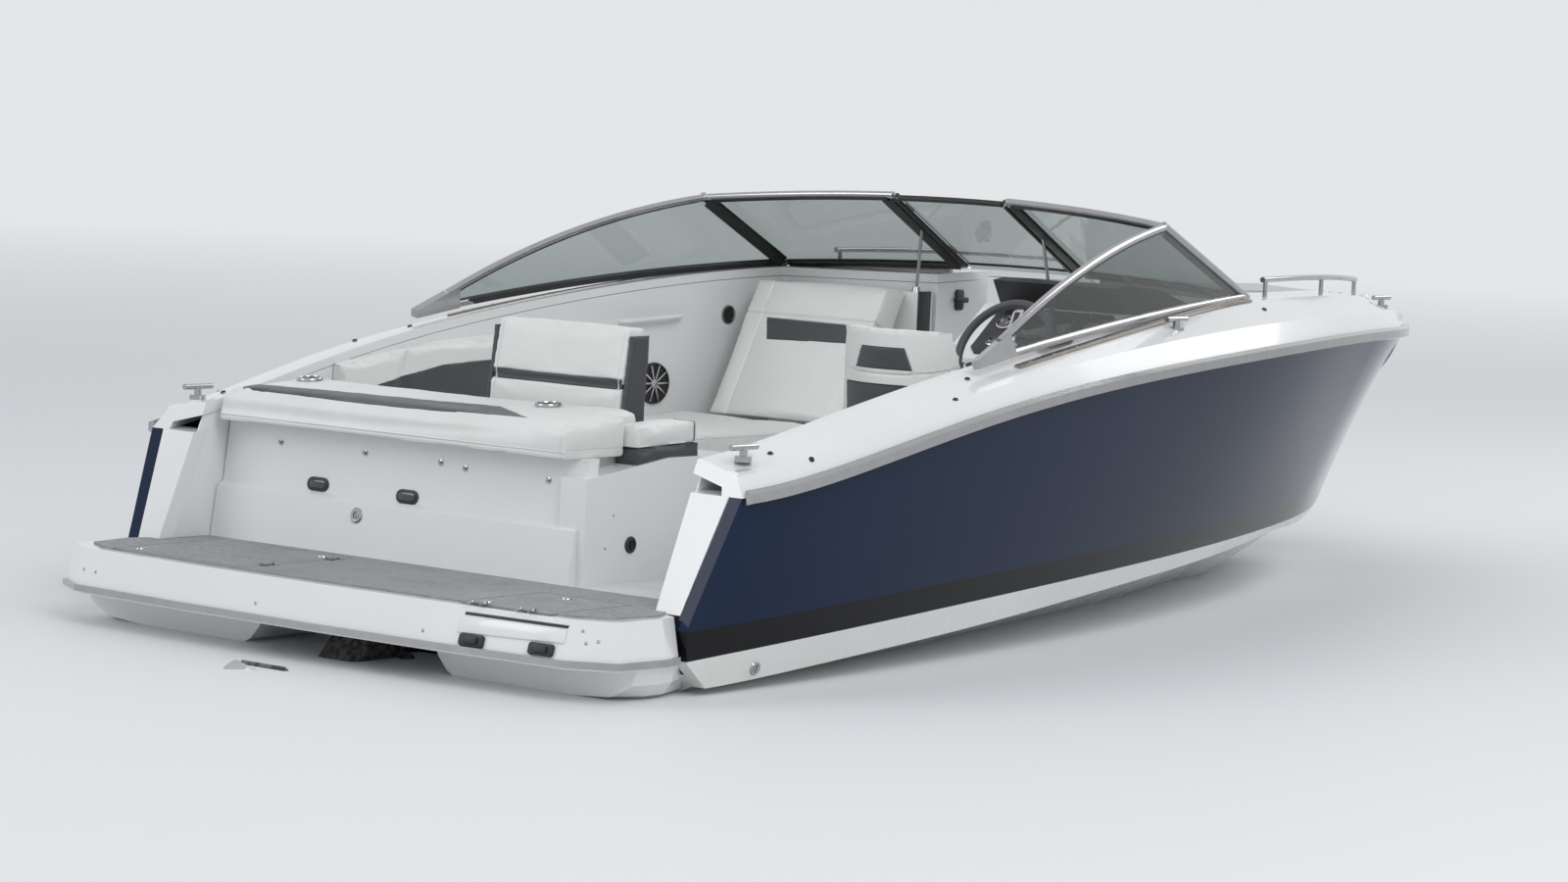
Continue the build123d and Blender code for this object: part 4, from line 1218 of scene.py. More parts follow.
@dataclass
class Windshield:
    """Trims of the windshield: gaskets, base channel, mullion covers and stays."""

    top_side: Arc = Arc((1.715, 1.165, 0.925), (2.42, 1.075, 1.21), (3.016, 0.983, 1.335))
    base_side: Arc = Arc((1.715, 1.165, 0.925), (2.56, 1.118, 1.03), (3.519, 1.0, 1.1))
    top_front: Arc = Arc((3.016, 0.983, 1.335), (3.17, 0.0, 1.385), (3.016, -0.983, 1.335))
    base_front: Arc = Arc((3.519, 1.0, 1.1), (3.64, 0.0, 1.135), (3.519, -1.0, 1.1))
    mullion: float = 0.37
    door: float = 0.3845
    gasket_r: float = 0.0065
    gasket_in: float = 0.0165
    cover: Pair = (0.05, 0.012)
    cover_in: float = 0.0066
    door_cover: float = 0.3
    strip_off: Pair = (0.012, 0.004)
    strip_thick: float = 0.008
    channel: Pair = (0.026, 0.008)
    channel_out: float = 0.024
    stay_r: float = 0.006
    stay_foot_x: float = 3.39

    def _gaskets(self) -> None:
        """Black seals between the rails and the panes."""
        seals, door_seals = [], []
        for mirror in (False, True):
            top, base = self.top_side, self.base_side
            if mirror:
                top, base = top.mirrored(), base.mirrored()
            for near, far in ((top, base), (base, top)):
                line = []
                for t in spread(0.12, 0.97, 18):
                    line.append(near.at(t) + (far.at(t) - near.at(t)).normalized() * self.gasket_in)
                seals.append(tube("seal", line, self.gasket_r, sides=2))
        spans = ((0.012, self.mullion - 0.006, seals),
                 (self.door + 0.006, 1.0 - self.door - 0.006, door_seals),
                 (1.006 - self.mullion, 0.988, seals))
        for t0, t1, group in spans:
            for near, far in ((self.top_front, self.base_front), (self.base_front, self.top_front)):
                line = [near.at(t) + (far.at(t) - near.at(t)).normalized() * self.gasket_in
                        for t in spread(t0, t1, 10)]
                group.append(tube("seal", line, self.gasket_r, sides=2))
        dress(merged("windshield_gaskets", seals), DARK_PLASTIC)
        dress(merged("door_gaskets", door_seals), DARK_PLASTIC, "windshield_door")

    def _covers(self) -> None:
        """Flat black covers on the inner side of the uprights."""
        fixed, swinging = [], []
        for t, group in ((self.mullion - self.cover_in, fixed), (1.0 + self.cover_in - self.mullion, fixed),
                         (self.door, swinging), (1.0 - self.door, swinging)):
            top, base = self.top_front.at(t), self.base_front.at(t)
            wide = (self.top_front.at(t + 0.01) - self.top_front.at(t - 0.01)).normalized()
            inward = (base - top).cross(wide).normalized()
            if inward.x > 0.0:
                inward.negate()
            width = self.cover[0] if group is fixed else self.cover[0] * self.door_cover
            stations = [(top.lerp(base, s) + inward * 0.012, wide, inward) for s in (0.03, 0.5, 0.97)]
            group.append(sweep("cover", stations, width, self.cover[1], 0.003))
        for side in (1.0, -1.0):
            top, base = (Vector((p[0], p[1] * side, p[2])) for p in (self.top_side.end, self.base_side.end))
            along = (base - top).normalized()
            inward = Vector((-0.62, -0.78 * side, -0.1))
            inward = (inward - along * inward.dot(along)).normalized()
            stations = [(top.lerp(base, s) + inward * 0.018, along.cross(inward), inward)
                        for s in (0.02, 0.5, 0.96)]
            fixed.append(sweep("cover", stations, self.cover[0], self.cover[1], 0.003))
        dress(merged("mullion_covers", fixed), DARK_PLASTIC)
        dress(merged("door_bar_covers", swinging), DARK_PLASTIC, "windshield_door")

    def _strip(self, near: Arc, far: Arc, t0: float, t1: float, width: float) -> bpy.types.Object:
        """A flat black strip along the inner side of a rail.

        Args:
            near: the rail it lies on.
            far: the rail across the pane.
            t0: share where it starts.
            t1: share where it ends.
            width: its width.

        Returns:
            The object.
        """
        stations = []
        for t in spread(t0, t1, 22):
            place = near.at(t)
            across = (far.at(t) - place).normalized()
            along = (near.at(min(t + 0.01, 1.0)) - near.at(max(t - 0.01, 0.0))).normalized()
            inward = across.cross(along).normalized()
            if inward.dot(Vector((2.4 - place.x, -place.y, 0.0))) < 0.0:
                inward.negate()
            place = place + inward * self.strip_off[0] + across * self.strip_off[1]
            stations.append((place, across, inward))
        return sweep("strip", stations, width, self.strip_thick, 0.002)

    def _strips(self) -> None:
        """Black strips inside the front top rail and along the base rails."""
        fixed = []
        for top, base in ((self.top_side, self.base_side),
                          (self.top_side.mirrored(), self.base_side.mirrored())):
            fixed.append(self._strip(base, top, 0.14, 0.98, 0.034))
        for t0, t1 in ((0.015, self.mullion - 0.004), (1.004 - self.mullion, 0.985)):
            fixed.append(self._strip(self.top_front, self.base_front, t0, t1, 0.022))
            fixed.append(self._strip(self.base_front, self.top_front, t0, t1, 0.03))
        dress(merged("windshield_strips", fixed), DARK_PLASTIC)
        moving = [self._strip(self.top_front, self.base_front, self.door + 0.004, 0.996 - self.door, 0.022)]
        dress(merged("door_strips", moving), DARK_PLASTIC, "windshield_door")

    def _channel(self) -> None:
        """Flat channel outside the base rail, with its screws."""
        bars, spots = [], []
        for mirror in (1.0, -1.0):
            stations = [self._channel_station(self.base_side, t, mirror) for t in spread(0.1, 0.99, 24)]
            bars.append(sweep("channel", stations, *self.channel, 0.002))
            spots += [(s[0] + s[2] * (self.channel[1] / 2.0), s[2]) for s in stations[1::2]]
        for t0, t1 in ((0.01, self.mullion - 0.03), (1.03 - self.mullion, 0.99)):
            stations = [self._channel_station(self.base_front, t, 1.0) for t in spread(t0, t1, 12)]
            bars.append(sweep("channel", stations, *self.channel, 0.002))
            spots += [(s[0] + s[2] * (self.channel[1] / 2.0), s[2]) for s in stations[1::2]]
        dress(merged("windshield_channel", bars), BRONZED)
        studs("windshield_channel_screws", spots, 0.0038, 0.002, STAINLESS)

    def _channel_station(self, arc: Arc, t: float, mirror: float) -> Station:
        """Section of the channel beside the rail, laid on the deck.

        Args:
            arc: the rail's line.
            t: share along it.
            mirror: 1 for the side it is drawn on, -1 for the other.

        Returns:
            Middle, width direction and thickness direction.
        """
        place = arc.at(t)
        along = arc.at(t + 0.01) - arc.at(t - 0.01)
        outward = Vector((along.y, -along.x, 0.0)).normalized()
        if outward.dot(Vector((place.x - 2.0, place.y, 0.0))) < 0.0:
            outward.negate()
        place, outward = (Vector((v.x, v.y * mirror, v.z)) for v in (place, outward))
        above = place + outward * self.channel_out + Vector((0.0, 0.0, 0.25))
        hit, normal = meet_line(above, Vector(DOWN), "deck")
        if normal.z < 0.0:
            normal.negate()
        middle = hit + normal * (self.channel[1] / 2.0 - 0.0005)
        return middle, outward - normal * outward.dot(normal), normal

    def _stays(self) -> None:
        """Two thin stays from the mullions to the consoles."""
        rods = []
        for t, nodes in ((self.mullion, ("port_console", "cockpit_liner", "deck")),
                         (1.0 - self.mullion, ("helm_console", "dash_visor", "deck"))):
            top = self.top_front.at(t).lerp(self.base_front.at(t), 0.47) + Vector((-0.016, 0.0, -0.004))
            foot_y = top.y + 0.03 * (1.0 if top.y > 0 else -1.0)
            foot, _ = meet_line(Vector((self.stay_foot_x, foot_y, 1.2)), Vector(DOWN), *nodes)
            rods.append(tube("stay", [top, top.lerp(foot, 0.5), foot], self.stay_r, sides=4))
            rods.append(turned("foot", STAY_FOOT, foot, UP, 20))
            rods.append(turned("eye", STAY_EYE, top, ACROSS_Y, 20))
        dress(merged("windshield_stays", rods), STAINLESS)

    def build(self) -> None:
        """Builds all trims of the windshield."""
        self._gaskets()
        self._covers()
        self._strips()
        self._channel()
        self._stays()


LOCK_RING = ((0.0, 0.0015), (0.011, 0.0015), (0.012, 0.005), (0.02, 0.006), (0.024, 0.003),
             (0.025, -0.001), (0.0, -0.001))
LOCK_BARREL = ((0.0, 0.005), (0.008, 0.005), (0.009, 0.004), (0.009, 0.0), (0.0, 0.0))
SNAP_KNOB = ((0.0, 0.011), (0.004, 0.011), (0.006, 0.008), (0.004, 0.005), (0.004, 0.003),
             (0.0105, 0.002), (0.0115, -0.001), (0.0, -0.001))
PLUG_RING = ((0.0, 0.002), (0.012, 0.002), (0.014, 0.007), (0.022, 0.006), (0.026, 0.002),
             (0.026, -0.001), (0.0, -0.001))


@dataclass
class Transom:
    """Fittings of the transom wall and the side box."""

    lights: tuple[Pair, ...] = ((325.0, 494.0), (416.0, 507.0))
    lock: Pair = (364.0, 526.0)
    snaps: tuple[Pair, ...] = ((200.0, 440.0), (287.0, 451.0), (373.0, 462.0), (450.0, 472.0),
                               (475.0, 478.0), (560.0, 490.0))
    plug: Pair = (643.0, 556.0)
    box_screws: tuple[Pair, ...] = ((626.0, 526.0), (617.0, 560.0))
    closing: tuple[Pair, ...] = ((0.41, 0.238), (0.72, 0.238), (0.72, 0.60), (0.66, 0.655), (0.585, 0.655))
    closing_y: Pair = (1.0115, 0.006)

    def _lights(self) -> None:
        """Two courtesy lights with round ends."""
        shells, lenses = [], []
        for spot in self.lights:
            place, normal = SIGHT.meet(*spot, "transom_wall")
            shells.append(stamp("shell", stadium(0.092, 0.044), place, normal, 0.005, round_by=0.002))
            lenses.append(stamp("lens", stadium(0.07, 0.024), place + normal * 0.004, normal, 0.003,
                                round_by=0.001))
        dress(merged("courtesy_light_shells", shells), DARK_PLASTIC)
        dress(merged("courtesy_light_lenses", lenses), SMOKED)

    def _lock(self) -> None:
        """Round stainless lock, with a dark plate on it as painted shade for the key slot."""
        place, normal = SIGHT.meet(*self.lock, "transom_wall")
        ring = turned("ring", LOCK_RING, place, normal, 40)
        barrel = turned("barrel", LOCK_BARREL, place, normal, 28)
        dress(merged("transom_lock", [ring, barrel]), STAINLESS)
        # Dark plate in the key slot: painted shade standing for the slot's depth.
        slot = stamp("transom_lock_slot_shade", rectangle(0.0025, 0.011), place + normal * 0.005, normal, 0.0006,
                     round_by=0.0)
        dress(slot, DARK_PLASTIC)

    def _snaps(self) -> None:
        """Snap knobs below the pad."""
        knobs = []
        for spot in self.snaps:
            place, normal = SIGHT.meet(*spot, *SHELL)
            knobs.append(turned("snap", SNAP_KNOB, place, normal, 18))
        dress(merged("transom_snaps", knobs), STAINLESS)

    def _plug(self) -> None:
        """Black flush plug of the side box."""
        place, normal = SIGHT.meet(*self.plug, "transom_wall")
        ring = turned("ring", PLUG_RING, place, normal, 36)
        grip = stamp("grip", rectangle(0.007, 0.022, 0.002), place + normal * 0.002, normal, 0.006)
        dress(merged("side_box_plug", [ring, grip]), DARK_PLASTIC)
        spots = [SIGHT.meet(*s, "transom_wall") for s in self.box_screws]
        studs("side_box_screws", spots, 0.004, 0.0015, STAINLESS)

    def _closing_panels(self) -> None:
        """White panels between the wings and the transom wall, one on each side."""
        inner, thick = self.closing_y
        for side, name in ((1.0, "port"), (-1.0, "starboard")):
            corners = [(x, side * inner, z) for x, z in self.closing]
            dress(slab(f"{name}_closing_panel", corners, (0.0, side * thick, 0.0), 0.0015), WHITE_GEL)

    def build(self) -> None:
        """Builds all fittings of the transom."""
        self._closing_panels()
        self._lights()
        self._lock()
        self._snaps()
        self._plug()


FINGER_RING = ((0.0, 0.0012), (0.010, 0.0012), (0.012, 0.003), (0.016, 0.003), (0.018, -0.001),
               (0.0, -0.001))


@dataclass
class Platform:
    """Fittings of the swim platform."""

    screws: tuple[Pair, ...] = ((86.0, 580.6), (97.8, 583.6), (261.0, 615.4), (431.6, 643.4),
                                (595.0, 644.0), (598.0, 656.6), (610.6, 655.0))
    latches: tuple[Pair, ...] = ((482.0, 654.0), (553.0, 663.0))
    cover: tuple[Pair, ...] = ((474.0, 628.5), (579.0, 643.0), (576.0, 657.0), (467.0, 645.0))
    holes: tuple[tuple[float, float, str], ...] = (
        (0.16, 0.95, "platform_hatch"), (0.50, 0.40, "platform_hatch"),
        (0.12, -0.62, "swim_step"), (0.37, -0.70, "swim_step"))
    hole_edge: float = 0.05

    def _latches(self) -> None:
        """Two black latch blocks on the aft band."""
        parts = []
        for spot in self.latches:
            place, normal = SIGHT.meet(*spot, "swim_platform")
            parts.append(stamp("base", rectangle(0.088, 0.036, 0.006), place, normal, 0.01, round_by=0.003))
            tongue = rectangle(0.05, 0.022, 0.004)
            parts.append(stamp("tongue", tongue, place + normal * 0.009, normal, 0.009, round_by=0.003))
        dress(merged("step_latches", parts), DARK_PLASTIC)

    def _cover(self) -> None:
        """White cover over the step's rail, with a dark strip above it as painted shade for the gap."""
        corners = [SIGHT.meet(*spot, "swim_platform") for spot in self.cover]
        normal = corners[0][1]
        raised = [place - n * 0.001 for place, n in corners]
        dress(slab("step_cover", raised, normal * 0.007, 0.0025), WHITE_GEL)
        # The dark strip above the cover is painted shade standing for the shadowed gap.
        a, b = corners[0][0], corners[1][0]
        lift = (corners[0][0] - corners[3][0]).normalized() * 0.009
        dress(sweep("step_gap_painted_shade", [(a + lift, lift, normal), (b + lift, lift, normal)], 0.009, 0.004, 0.001),
              DARK_PLASTIC)

    def _hand_holes(self) -> None:
        """Pull ring of the step and finger rings of the hatch."""
        for number, (x, y, node) in enumerate(self.holes):
            low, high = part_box(node)
            x = min(max(x, low[0] + self.hole_edge), high[0] - self.hole_edge)
            y = min(max(y, low[1] + self.hole_edge), high[1] - self.hole_edge)
            place, normal = meet_line(Vector((x, y, 0.6)), Vector(DOWN), node)
            ring = turned(f"{node}_finger_ring_{number}", FINGER_RING, place, normal, 32)
            dress(ring, STAINLESS, node)

    def build(self) -> None:
        """Builds all fittings of the platform."""
        spots = [SIGHT.meet(*s, "swim_platform") for s in self.screws]
        studs("platform_screws", spots, 0.0055, 0.002, STAINLESS)
        self._latches()
        self._cover()
        self._hand_holes()


WHEEL_HUB = ((0.0, 0.006), (0.02, 0.006), (0.034, 0.004), (0.042, 0.0), (0.044, -0.006),
             (0.030, -0.012), (0.026, -0.045), (0.0, -0.045))
WHEEL_CAP = ((0.0, 0.009), (0.016, 0.0085), (0.022, 0.006), (0.022, 0.003), (0.0, 0.003))
GAUGE_BEZEL = ((0.84, 0.002), (0.88, 0.008), (1.0, 0.006), (1.02, -0.001), (0.84, -0.001), (0.84, 0.002))
GAUGE_FACE = ((0.0, 0.002), (0.85, 0.002), (0.85, -0.001), (0.0, -0.001))
ORIGIN: Point = (0.0, 0.0, 0.0)


def scaled(r: float, profile: Sequence[Pair]) -> list[Pair]:
    """A profile whose radii are given as shares of r."""
    return [(r * share, height) for share, height in profile]


@dataclass
class Helm:
    """Steering wheel, dash face and gauges."""

    wheel: Point = (2.52, -0.70, 0.915)
    tilt: float = 30.0
    rim: Pair = (0.172, 0.015)
    face_low: Pair = (2.76, 0.86)
    face_high: Pair = (2.99, 1.035)
    span: Pair = (-0.85, -0.37)
    spoke_turns: Point = (90.0, 210.0, 330.0)
    spoke: tuple[Pair, ...] = ((0.028, 0.026), (0.10, 0.017), (0.163, 0.022))
    inset: tuple[Pair, ...] = ((0.062, 0.010), (0.105, 0.007), (0.142, 0.010))
    screen: Pair = (-0.61, 0.62)
    gauges: tuple[Point, ...] = ((-0.44, 0.66, 0.036), (-0.78, 0.66, 0.036), (-0.44, 0.3, 0.022),
                                 (-0.78, 0.3, 0.022))
    keys: int = 6

    def _to_wheel(self) -> Matrix:
        """Turns local coordinates about the wheel's shaft into the boat's."""
        a = math.radians(self.tilt)
        axis = Vector((-math.cos(a), 0.0, math.sin(a)))
        across = Vector((0.0, -1.0, 0.0))
        turn = Matrix((across, axis.cross(across), axis)).transposed().to_4x4()
        return Matrix.Translation(self.wheel) @ turn

    def _wheel(self) -> None:
        """Rim with grips, three polished spokes and a bare hub."""
        place = self._to_wheel()
        bpy.ops.object.select_all(action="DESELECT")
        bpy.ops.mesh.primitive_torus_add(major_radius=self.rim[0], minor_radius=self.rim[1],
                                         major_segments=96, minor_segments=20)
        rim = bpy.context.object
        rim.name = "wheel_rim"
        for vertex in rim.data.vertices:
            angle = math.atan2(vertex.co.y, vertex.co.x)
            ring = Vector((math.cos(angle), math.sin(angle), 0.0)) * self.rim[0]
            grip = 1.0 + 0.07 * max(0.0, math.cos(3.0 * (angle + 0.5))) + 0.012 * math.cos(48.0 * angle)
            vertex.co = ring + (vertex.co - ring) * min(grip, 1.1) * 0.95
        rim.data.transform(place)
        dress(rim, GREY_VINYL, "steering_wheel", 60.0)
        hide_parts("steering_wheel")
        spokes, insets = [], []
        for turn in self.spoke_turns:
            spin = Matrix.Rotation(math.radians(turn), 4, "Z")
            plate = slab("spoke", self._both_sides(self.spoke, -0.006), (0.0, 0.0, 0.006), 0.002)
            dark = slab("inset", self._both_sides(self.inset, 0.0), (0.0, 0.0, 0.002), 0.0008)
            for piece, group in ((plate, spokes), (dark, insets)):
                piece.data.transform(place @ spin)
                group.append(piece)
        hub = turned("hub", WHEEL_HUB, ORIGIN, UP, 48)
        hub.data.transform(place)
        spokes.append(hub)
        cap = turned("cap", WHEEL_CAP, ORIGIN, UP, 40)
        cap.data.transform(place)
        insets.append(cap)
        dress(merged("wheel_spokes", spokes), POLISHED, "steering_wheel", 40.0)
        dress(merged("wheel_dark_parts", insets), DARK_PLASTIC, "steering_wheel")

    def _both_sides(self, half: Sequence[Pair], height: float) -> list[Point]:
        """Corners of a plate from its half widths, down one side and back up the other."""
        return [(x, -y, height) for x, y in half] + [(x, y, height) for x, y in reversed(half)]

    def _face_at(self, y: float, share: float, out: float = 0.0) -> Hit:
        """A place on the sloping dash face.

        Args:
            y: across the boat.
            share: from its low edge to its high one.
            out: how far in front of the face.

        Returns:
            The place and the face's normal.
        """
        low = Vector((self.face_low[0], y, self.face_low[1]))
        high = Vector((self.face_high[0], y, self.face_high[1]))
        normal = Vector((0.0, 1.0, 0.0)).cross(high - low).normalized()
        if normal.x > 0.0:
            normal.negate()
        return low.lerp(high, share) + normal * out, normal

    def _dash(self) -> None:
        """Dark dash panel with screen, gauges and switches."""
        place, normal = self._face_at(sum(self.span) / 2.0, 0.52)
        up = Vector((self.face_high[0] - self.face_low[0], 0.0, self.face_high[1] - self.face_low[1]))
        face = rectangle(self.span[1] - self.span[0], 0.25, 0.03)
        dress(stamp("dash_panel", face, place, normal, 0.006, up), DARK_PLASTIC)
        screen, _ = self._face_at(*self.screen, 0.006)
        frame_piece = stamp("dash_screen_frame", rectangle(0.20, 0.13, 0.012), screen, normal, 0.006, up)
        dress(frame_piece, DARK_PLASTIC)
        pane = rectangle(0.17, 0.10, 0.004)
        dress(stamp("dash_screen", pane, screen + normal * 0.0062, normal, 0.001, up, 0.0004), SMOKED)
        bezels, faces, needles = [], [], []
        for y, share, r in self.gauges:
            spot, _ = self._face_at(y, share, 0.006)
            bezels.append(turned("bezel", scaled(r, GAUGE_BEZEL), spot, normal, 40))
            faces.append(turned("face", scaled(r, GAUGE_FACE), spot, normal, 40))
            hand = [(-r * 0.03, -r * 0.2), (r * 0.03, -r * 0.2), (r * 0.5, r * 0.55)]
            needles.append(stamp("needle", hand, spot + normal * 0.003, normal, 0.001, up, 0.0))
        dress(merged("gauge_bezels", bezels), POLISHED)
        dress(merged("gauge_faces", faces), SMOKED)
        dress(merged("gauge_needles", needles), WHITE_GEL)
        keys = []
        for i in range(self.keys):
            spot, _ = self._face_at(-0.70 + 0.036 * i, 0.2, 0.006)
            keys.append(stamp("key", rectangle(0.024, 0.034, 0.004), spot, normal, 0.007, up, 0.0025))
        dress(merged("dash_switches", keys), DARK_PLASTIC)

    def build(self) -> None:
        """Builds the helm's detail."""
        self._wheel()
        self._dash()


SPEAKER_RIM = ((0.86, 0.004), (0.9, 0.012), (0.97, 0.012), (1.0, 0.006), (1.0, -0.001),
               (0.86, -0.001), (0.86, 0.004))
SPEAKER_CONE = ((0.0, 0.004), (0.2, 0.005), (0.24, 0.001), (0.8, 0.007), (0.88, 0.007),
                (0.88, -0.001), (0.0, -0.001))
SPEAKER_BOSS = ((0.0, 0.016), (0.12, 0.015), (0.2, 0.01), (0.2, 0.004), (0.0, 0.004))
CUP_RING = ((0.74, 0.001), (0.8, 0.005), (0.95, 0.004), (1.0, 0.0), (1.0, -0.006), (0.74, -0.006),
            (0.74, 0.001))
# Flat dark disc inside a cup ring: painted shade for the holder's hollow.
CUP_SHADE_DISC = ((0.0, 0.0015), (0.76, 0.0015), (0.76, -0.004), (0.0, -0.004))
PAD_CUP: Pair = (0.042, 0.006)
SIDE_CUP: Pair = (0.036, 0.0)


@dataclass
class Cockpit:
    """Speaker, cup holders, handle and console latch."""

    speaker: Pair = (666.0, 391.0)
    speaker_r: float = 0.075
    cup: Pair = (743.0, 321.0)
    pad_cups: tuple[Point, ...] = ((0.89, -0.15, 0.9), (0.89, 0.86, 0.9))
    handle: tuple[Pair, Pair] = ((632.0, 328.0), (692.0, 322.0))
    latch: Pair = (978.0, 306.0)
    spoke_count: int = 10

    def _speaker(self) -> None:
        """Speaker with a turned cone, a rim and ten spokes."""
        place, normal = SIGHT.meet(*self.speaker, "cockpit_liner")
        r = self.speaker_r
        rim = turned("rim", scaled(r, SPEAKER_RIM), place, normal, 56)
        cone = turned("cone", scaled(r, SPEAKER_CONE), place, normal, 56)
        across = Vector(UP).cross(normal).normalized()
        rise = normal.cross(across)
        spokes = []
        for i in range(self.spoke_count):
            a = math.tau * i / self.spoke_count
            way = across * math.cos(a) + rise * math.sin(a)
            wide = normal.cross(way)
            stations = [(place + normal * 0.011 + way * (r * s), wide, normal) for s in (0.15, 0.5, 0.9)]
            spokes.append(sweep("spoke", stations, 0.007, 0.003, 0.001))
        spokes.append(turned("boss", scaled(r, SPEAKER_BOSS), place, normal, 32))
        dress(merged("speaker_cone", [rim, cone]), DARK_PLASTIC)
        dress(merged("speaker_spokes", spokes), POLISHED)

    def _cups(self) -> None:
        """Stainless cup holders in the pad and in the side, each with a flat dark disc inside its ring as
        painted shade for its hollow.
        """
        cups, shade_discs = [], []
        spots = [(*meet_line(Vector(p), Vector(DOWN), "transom_pad"), PAD_CUP) for p in self.pad_cups]
        spots.append((*SIGHT.meet(*self.cup, "cockpit_liner", "coaming_pads"), SIDE_CUP))
        for place, normal, (r, lift) in spots:
            # The dark discs are painted shade: they stand for the holders' hollows, which have no depth here.
            ring, well = ([(share, lift + h) for share, h in profile] for profile in (CUP_RING, CUP_SHADE_DISC))
            cups.append(turned("cup", scaled(r, ring), place, normal, 40))
            shade_discs.append(turned("well", scaled(r, well), place, normal, 32))
        dress(merged("cup_rings", cups), STAINLESS)
        dress(merged("cup_wells", shade_discs), DARK_PLASTIC)

    def _handle(self) -> None:
        """White grab handle on the port side."""
        (a, na), (b, nb) = (SIGHT.meet(*spot, "cockpit_liner", "deck") for spot in self.handle)
        normal = (na + nb).normalized()
        lift = normal * 0.028
        line = [a, a + lift * 0.8, a.lerp(b, 0.12) + lift, a.lerp(b, 0.5) + lift, a.lerp(b, 0.88) + lift,
                b + lift * 0.8, b]
        dress(tube("grab_handle", line, 0.009, smooth=True, sides=4), WHITE_GEL, angle=60.0)

    def _latch(self) -> None:
        """Black latch on the port console and the dark edge pad beside the walk-through."""
        place, normal = SIGHT.meet(*self.latch, "port_console", "cockpit_liner", "deck")
        parts = [stamp("plate", rectangle(0.05, 0.075, 0.008), place, normal, 0.008, round_by=0.002),
                 stamp("bolt", rectangle(0.075, 0.02, 0.004), place + normal * 0.007, normal, 0.014,
                       round_by=0.003)]
        dress(merged("console_latch", parts), DARK_PLASTIC)
        low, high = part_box("port_console")
        edge = block("walk_through_edge", (low[0] + 0.004, low[1] - 0.008, high[2] - 0.25),
                     (low[0] + 0.075, low[1] + 0.001, high[2] + 0.004), 0.003)
        dress(edge, DARK_PLASTIC)

    def build(self) -> None:
        """Builds the cockpit's fittings."""
        self._speaker()
        self._cups()
        self._handle()
        self._latch()


DRAIN_RING = ((0.0, 0.001), (0.009, 0.001), (0.011, 0.006), (0.019, 0.005), (0.022, -0.001),
              (0.0, -0.001))


@dataclass
class DeckFittings:
    """Small fittings on the deck and the hull."""

    studs_seen: tuple[Pair, ...] = ((786.0, 463.0), (828.0, 469.0), (975.0, 408.0), (987.0, 387.0),
                                    (1290.0, 316.0))
    drain: Pair = (770.0, 682.0)

    def build(self) -> None:
        """Builds the fittings of the deck and the hull."""
        spots = []
        for spot in self.studs_seen:
            place, normal = SIGHT.meet(*spot, "deck", "cockpit_liner")
            spots.append((place, normal))
            spots.append((Vector((place.x, -place.y, place.z)), Vector((normal.x, -normal.y, normal.z))))
        studs("deck_snaps", spots, 0.009, 0.006, DARK_PLASTIC)
        place, normal = SIGHT.meet(*self.drain, "hull_bottom")
        dress(turned("drain_fitting", DRAIN_RING, place, normal, 32), STAINLESS)


ASSEMBLIES: tuple[type, ...] = (Windshield, Transom, Platform, Helm, Cockpit, DeckFittings)
LAMPS: tuple[tuple[str, Point, Point, float, float], ...] = (
    ("key_lamp", (-3.0, -9.0, 9.0), (3.0, 0.0, 0.6), 7.0, 520.0),
    ("fill_lamp", (-8.0, 6.0, 7.0), (2.0, 0.0, 0.5), 6.0, 260.0),
    ("bow_lamp", (12.0, -3.0, 7.0), (4.0, 0.0, 0.6), 6.0, 260.0))


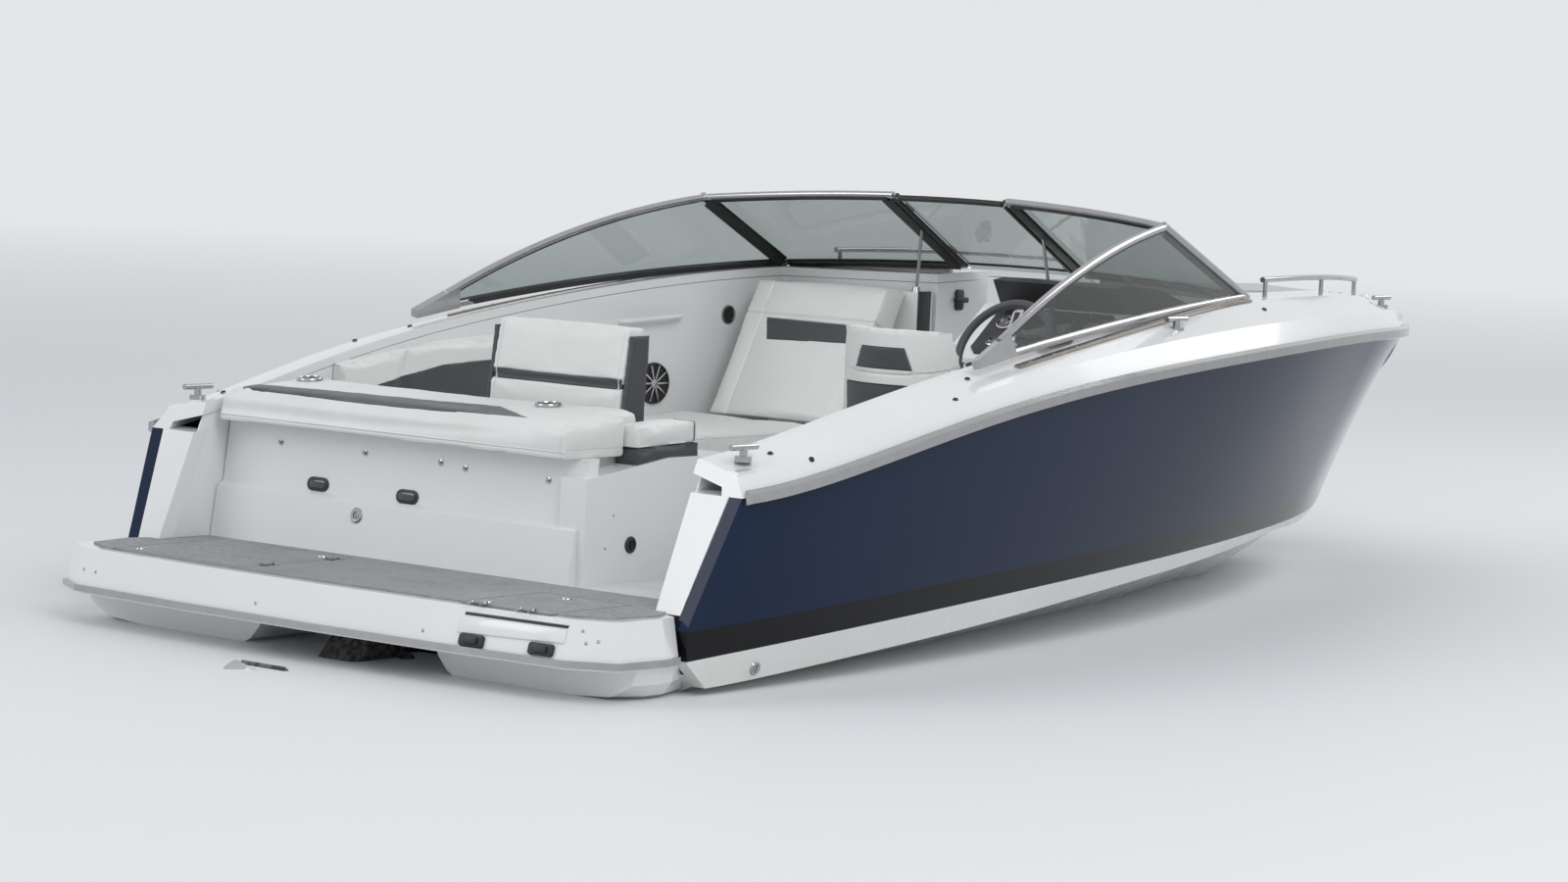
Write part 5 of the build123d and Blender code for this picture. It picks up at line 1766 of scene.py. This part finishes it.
@dataclass
class Studio:
    """Pale floor at the waterline, soft lamps, pale surroundings and the camera."""

    pale: Point = (0.78, 0.79, 0.8)
    floor_radius: float = 70.0
    fade: Pair = (9.0, 34.0)
    sky: float = 0.62
    sky_color: Point = (0.93, 0.96, 1.0)
    floor_rough: float = 0.6

    def floor(self) -> None:
        """Adds the floor, which fades into the surroundings far away."""
        bpy.ops.object.select_all(action="DESELECT")
        bpy.ops.mesh.primitive_circle_add(vertices=96, radius=self.floor_radius, fill_type="NGON",
                                          location=(3.0, 0.0, 0.0))
        floor = bpy.context.object
        floor.name = "studio_floor"
        bpy.ops.object.transform_apply(location=True)
        material = bpy.data.materials.new("pale_floor")
        material.use_nodes = True
        g = Graph(material.node_tree)
        nodes = material.node_tree.nodes
        shader = nodes["Principled BSDF"]
        shader.inputs["Base Color"].default_value = (*self.pale, 1.0)
        shader.inputs["Roughness"].default_value = self.floor_rough
        coord = g.add(NodeKind.COORD)
        distance = nodes.new("ShaderNodeVectorMath")
        distance.operation = "LENGTH"
        g.join(coord.outputs["Object"], distance.inputs[0])
        far = g.spread(distance.outputs["Value"], *self.fade)
        path = nodes.new("ShaderNodeLightPath")
        seen = g.math("MAXIMUM", path.outputs["Is Camera Ray"], path.outputs["Is Glossy Ray"])
        seen = g.math("MAXIMUM", seen, path.outputs["Is Transmission Ray"])
        glow = nodes.new("ShaderNodeEmission")
        glow.inputs["Color"].default_value = (*self.pale, 1.0)
        mix = nodes.new("ShaderNodeMixShader")
        g.join(g.math("MULTIPLY", far, seen), mix.inputs[0])
        g.join(shader.outputs[0], mix.inputs[1])
        g.join(glow.outputs[0], mix.inputs[2])
        g.join(mix.outputs[0], nodes["Material Output"].inputs["Surface"])
        floor.data.materials.append(material)

    def surroundings(self) -> None:
        """Sets the world: pale where seen, a soft sky where it lights."""
        world = bpy.data.worlds.new("studio_world")
        bpy.context.scene.world = world
        world.use_nodes = True
        g = Graph(world.node_tree)
        nodes = world.node_tree.nodes
        lit = nodes["Background"]
        lit.inputs["Color"].default_value = (*self.sky_color, 1.0)
        lit.inputs["Strength"].default_value = self.sky
        seen = nodes.new("ShaderNodeBackground")
        seen.inputs["Color"].default_value = (*self.pale, 1.0)
        path = nodes.new("ShaderNodeLightPath")
        share = g.math("MAXIMUM", path.outputs["Is Camera Ray"], path.outputs["Is Transmission Ray"])
        share = g.math("MAXIMUM", share, path.outputs["Is Glossy Ray"])
        mix = nodes.new("ShaderNodeMixShader")
        g.join(share, mix.inputs[0])
        g.join(lit.outputs[0], mix.inputs[1])
        g.join(seen.outputs[0], mix.inputs[2])
        g.join(mix.outputs[0], nodes["World Output"].inputs["Surface"])

    def lamp(self, name: str, place: Point, aim: Point, size: float, power: float) -> None:
        """Adds one large soft lamp.

        Args:
            name: the lamp's name.
            place: where it hangs.
            aim: the point it faces.
            size: its side.
            power: watts.
        """
        data = bpy.data.lights.new(name, "AREA")
        data.size = size
        data.energy = power
        lamp = bpy.data.objects.new(name, data)
        bpy.context.scene.collection.objects.link(lamp)
        lamp.location = place
        lamp.rotation_euler = (Vector(aim) - Vector(place)).to_track_quat("-Z", "Y").to_euler()

    def camera(self) -> None:
        """Sets the camera at the photograph's viewing angle."""
        right, above, forward = SIGHT.axes()
        data = bpy.data.cameras.new("camera")
        data.lens = SIGHT.lens
        data.sensor_width = SIGHT.sensor
        data.sensor_fit = "HORIZONTAL"
        data.clip_end = 300.0
        camera = bpy.data.objects.new("camera", data)
        bpy.context.scene.collection.objects.link(camera)
        turn = Matrix((right, above, -forward)).transposed().to_4x4()
        camera.matrix_world = Matrix.Translation(SIGHT.eye) @ turn
        bpy.context.scene.camera = camera

    def build(self) -> None:
        """Builds the whole stage."""
        self.floor()
        self.surroundings()
        for values in LAMPS:
            self.lamp(*values)
        self.camera()
        bpy.context.scene.view_settings.view_transform = "Standard"


def main() -> None:
    """Builds the looks in order and reports each piece."""
    logging.basicConfig(level=logging.INFO)
    Studio().build()
    dress_nodes()
    for pad in PADS:
        pad.build()
    for kind in ASSEMBLIES:
        log.info("building %s", kind.__name__)
        kind().build()


if __name__ == "__main__":
    main()
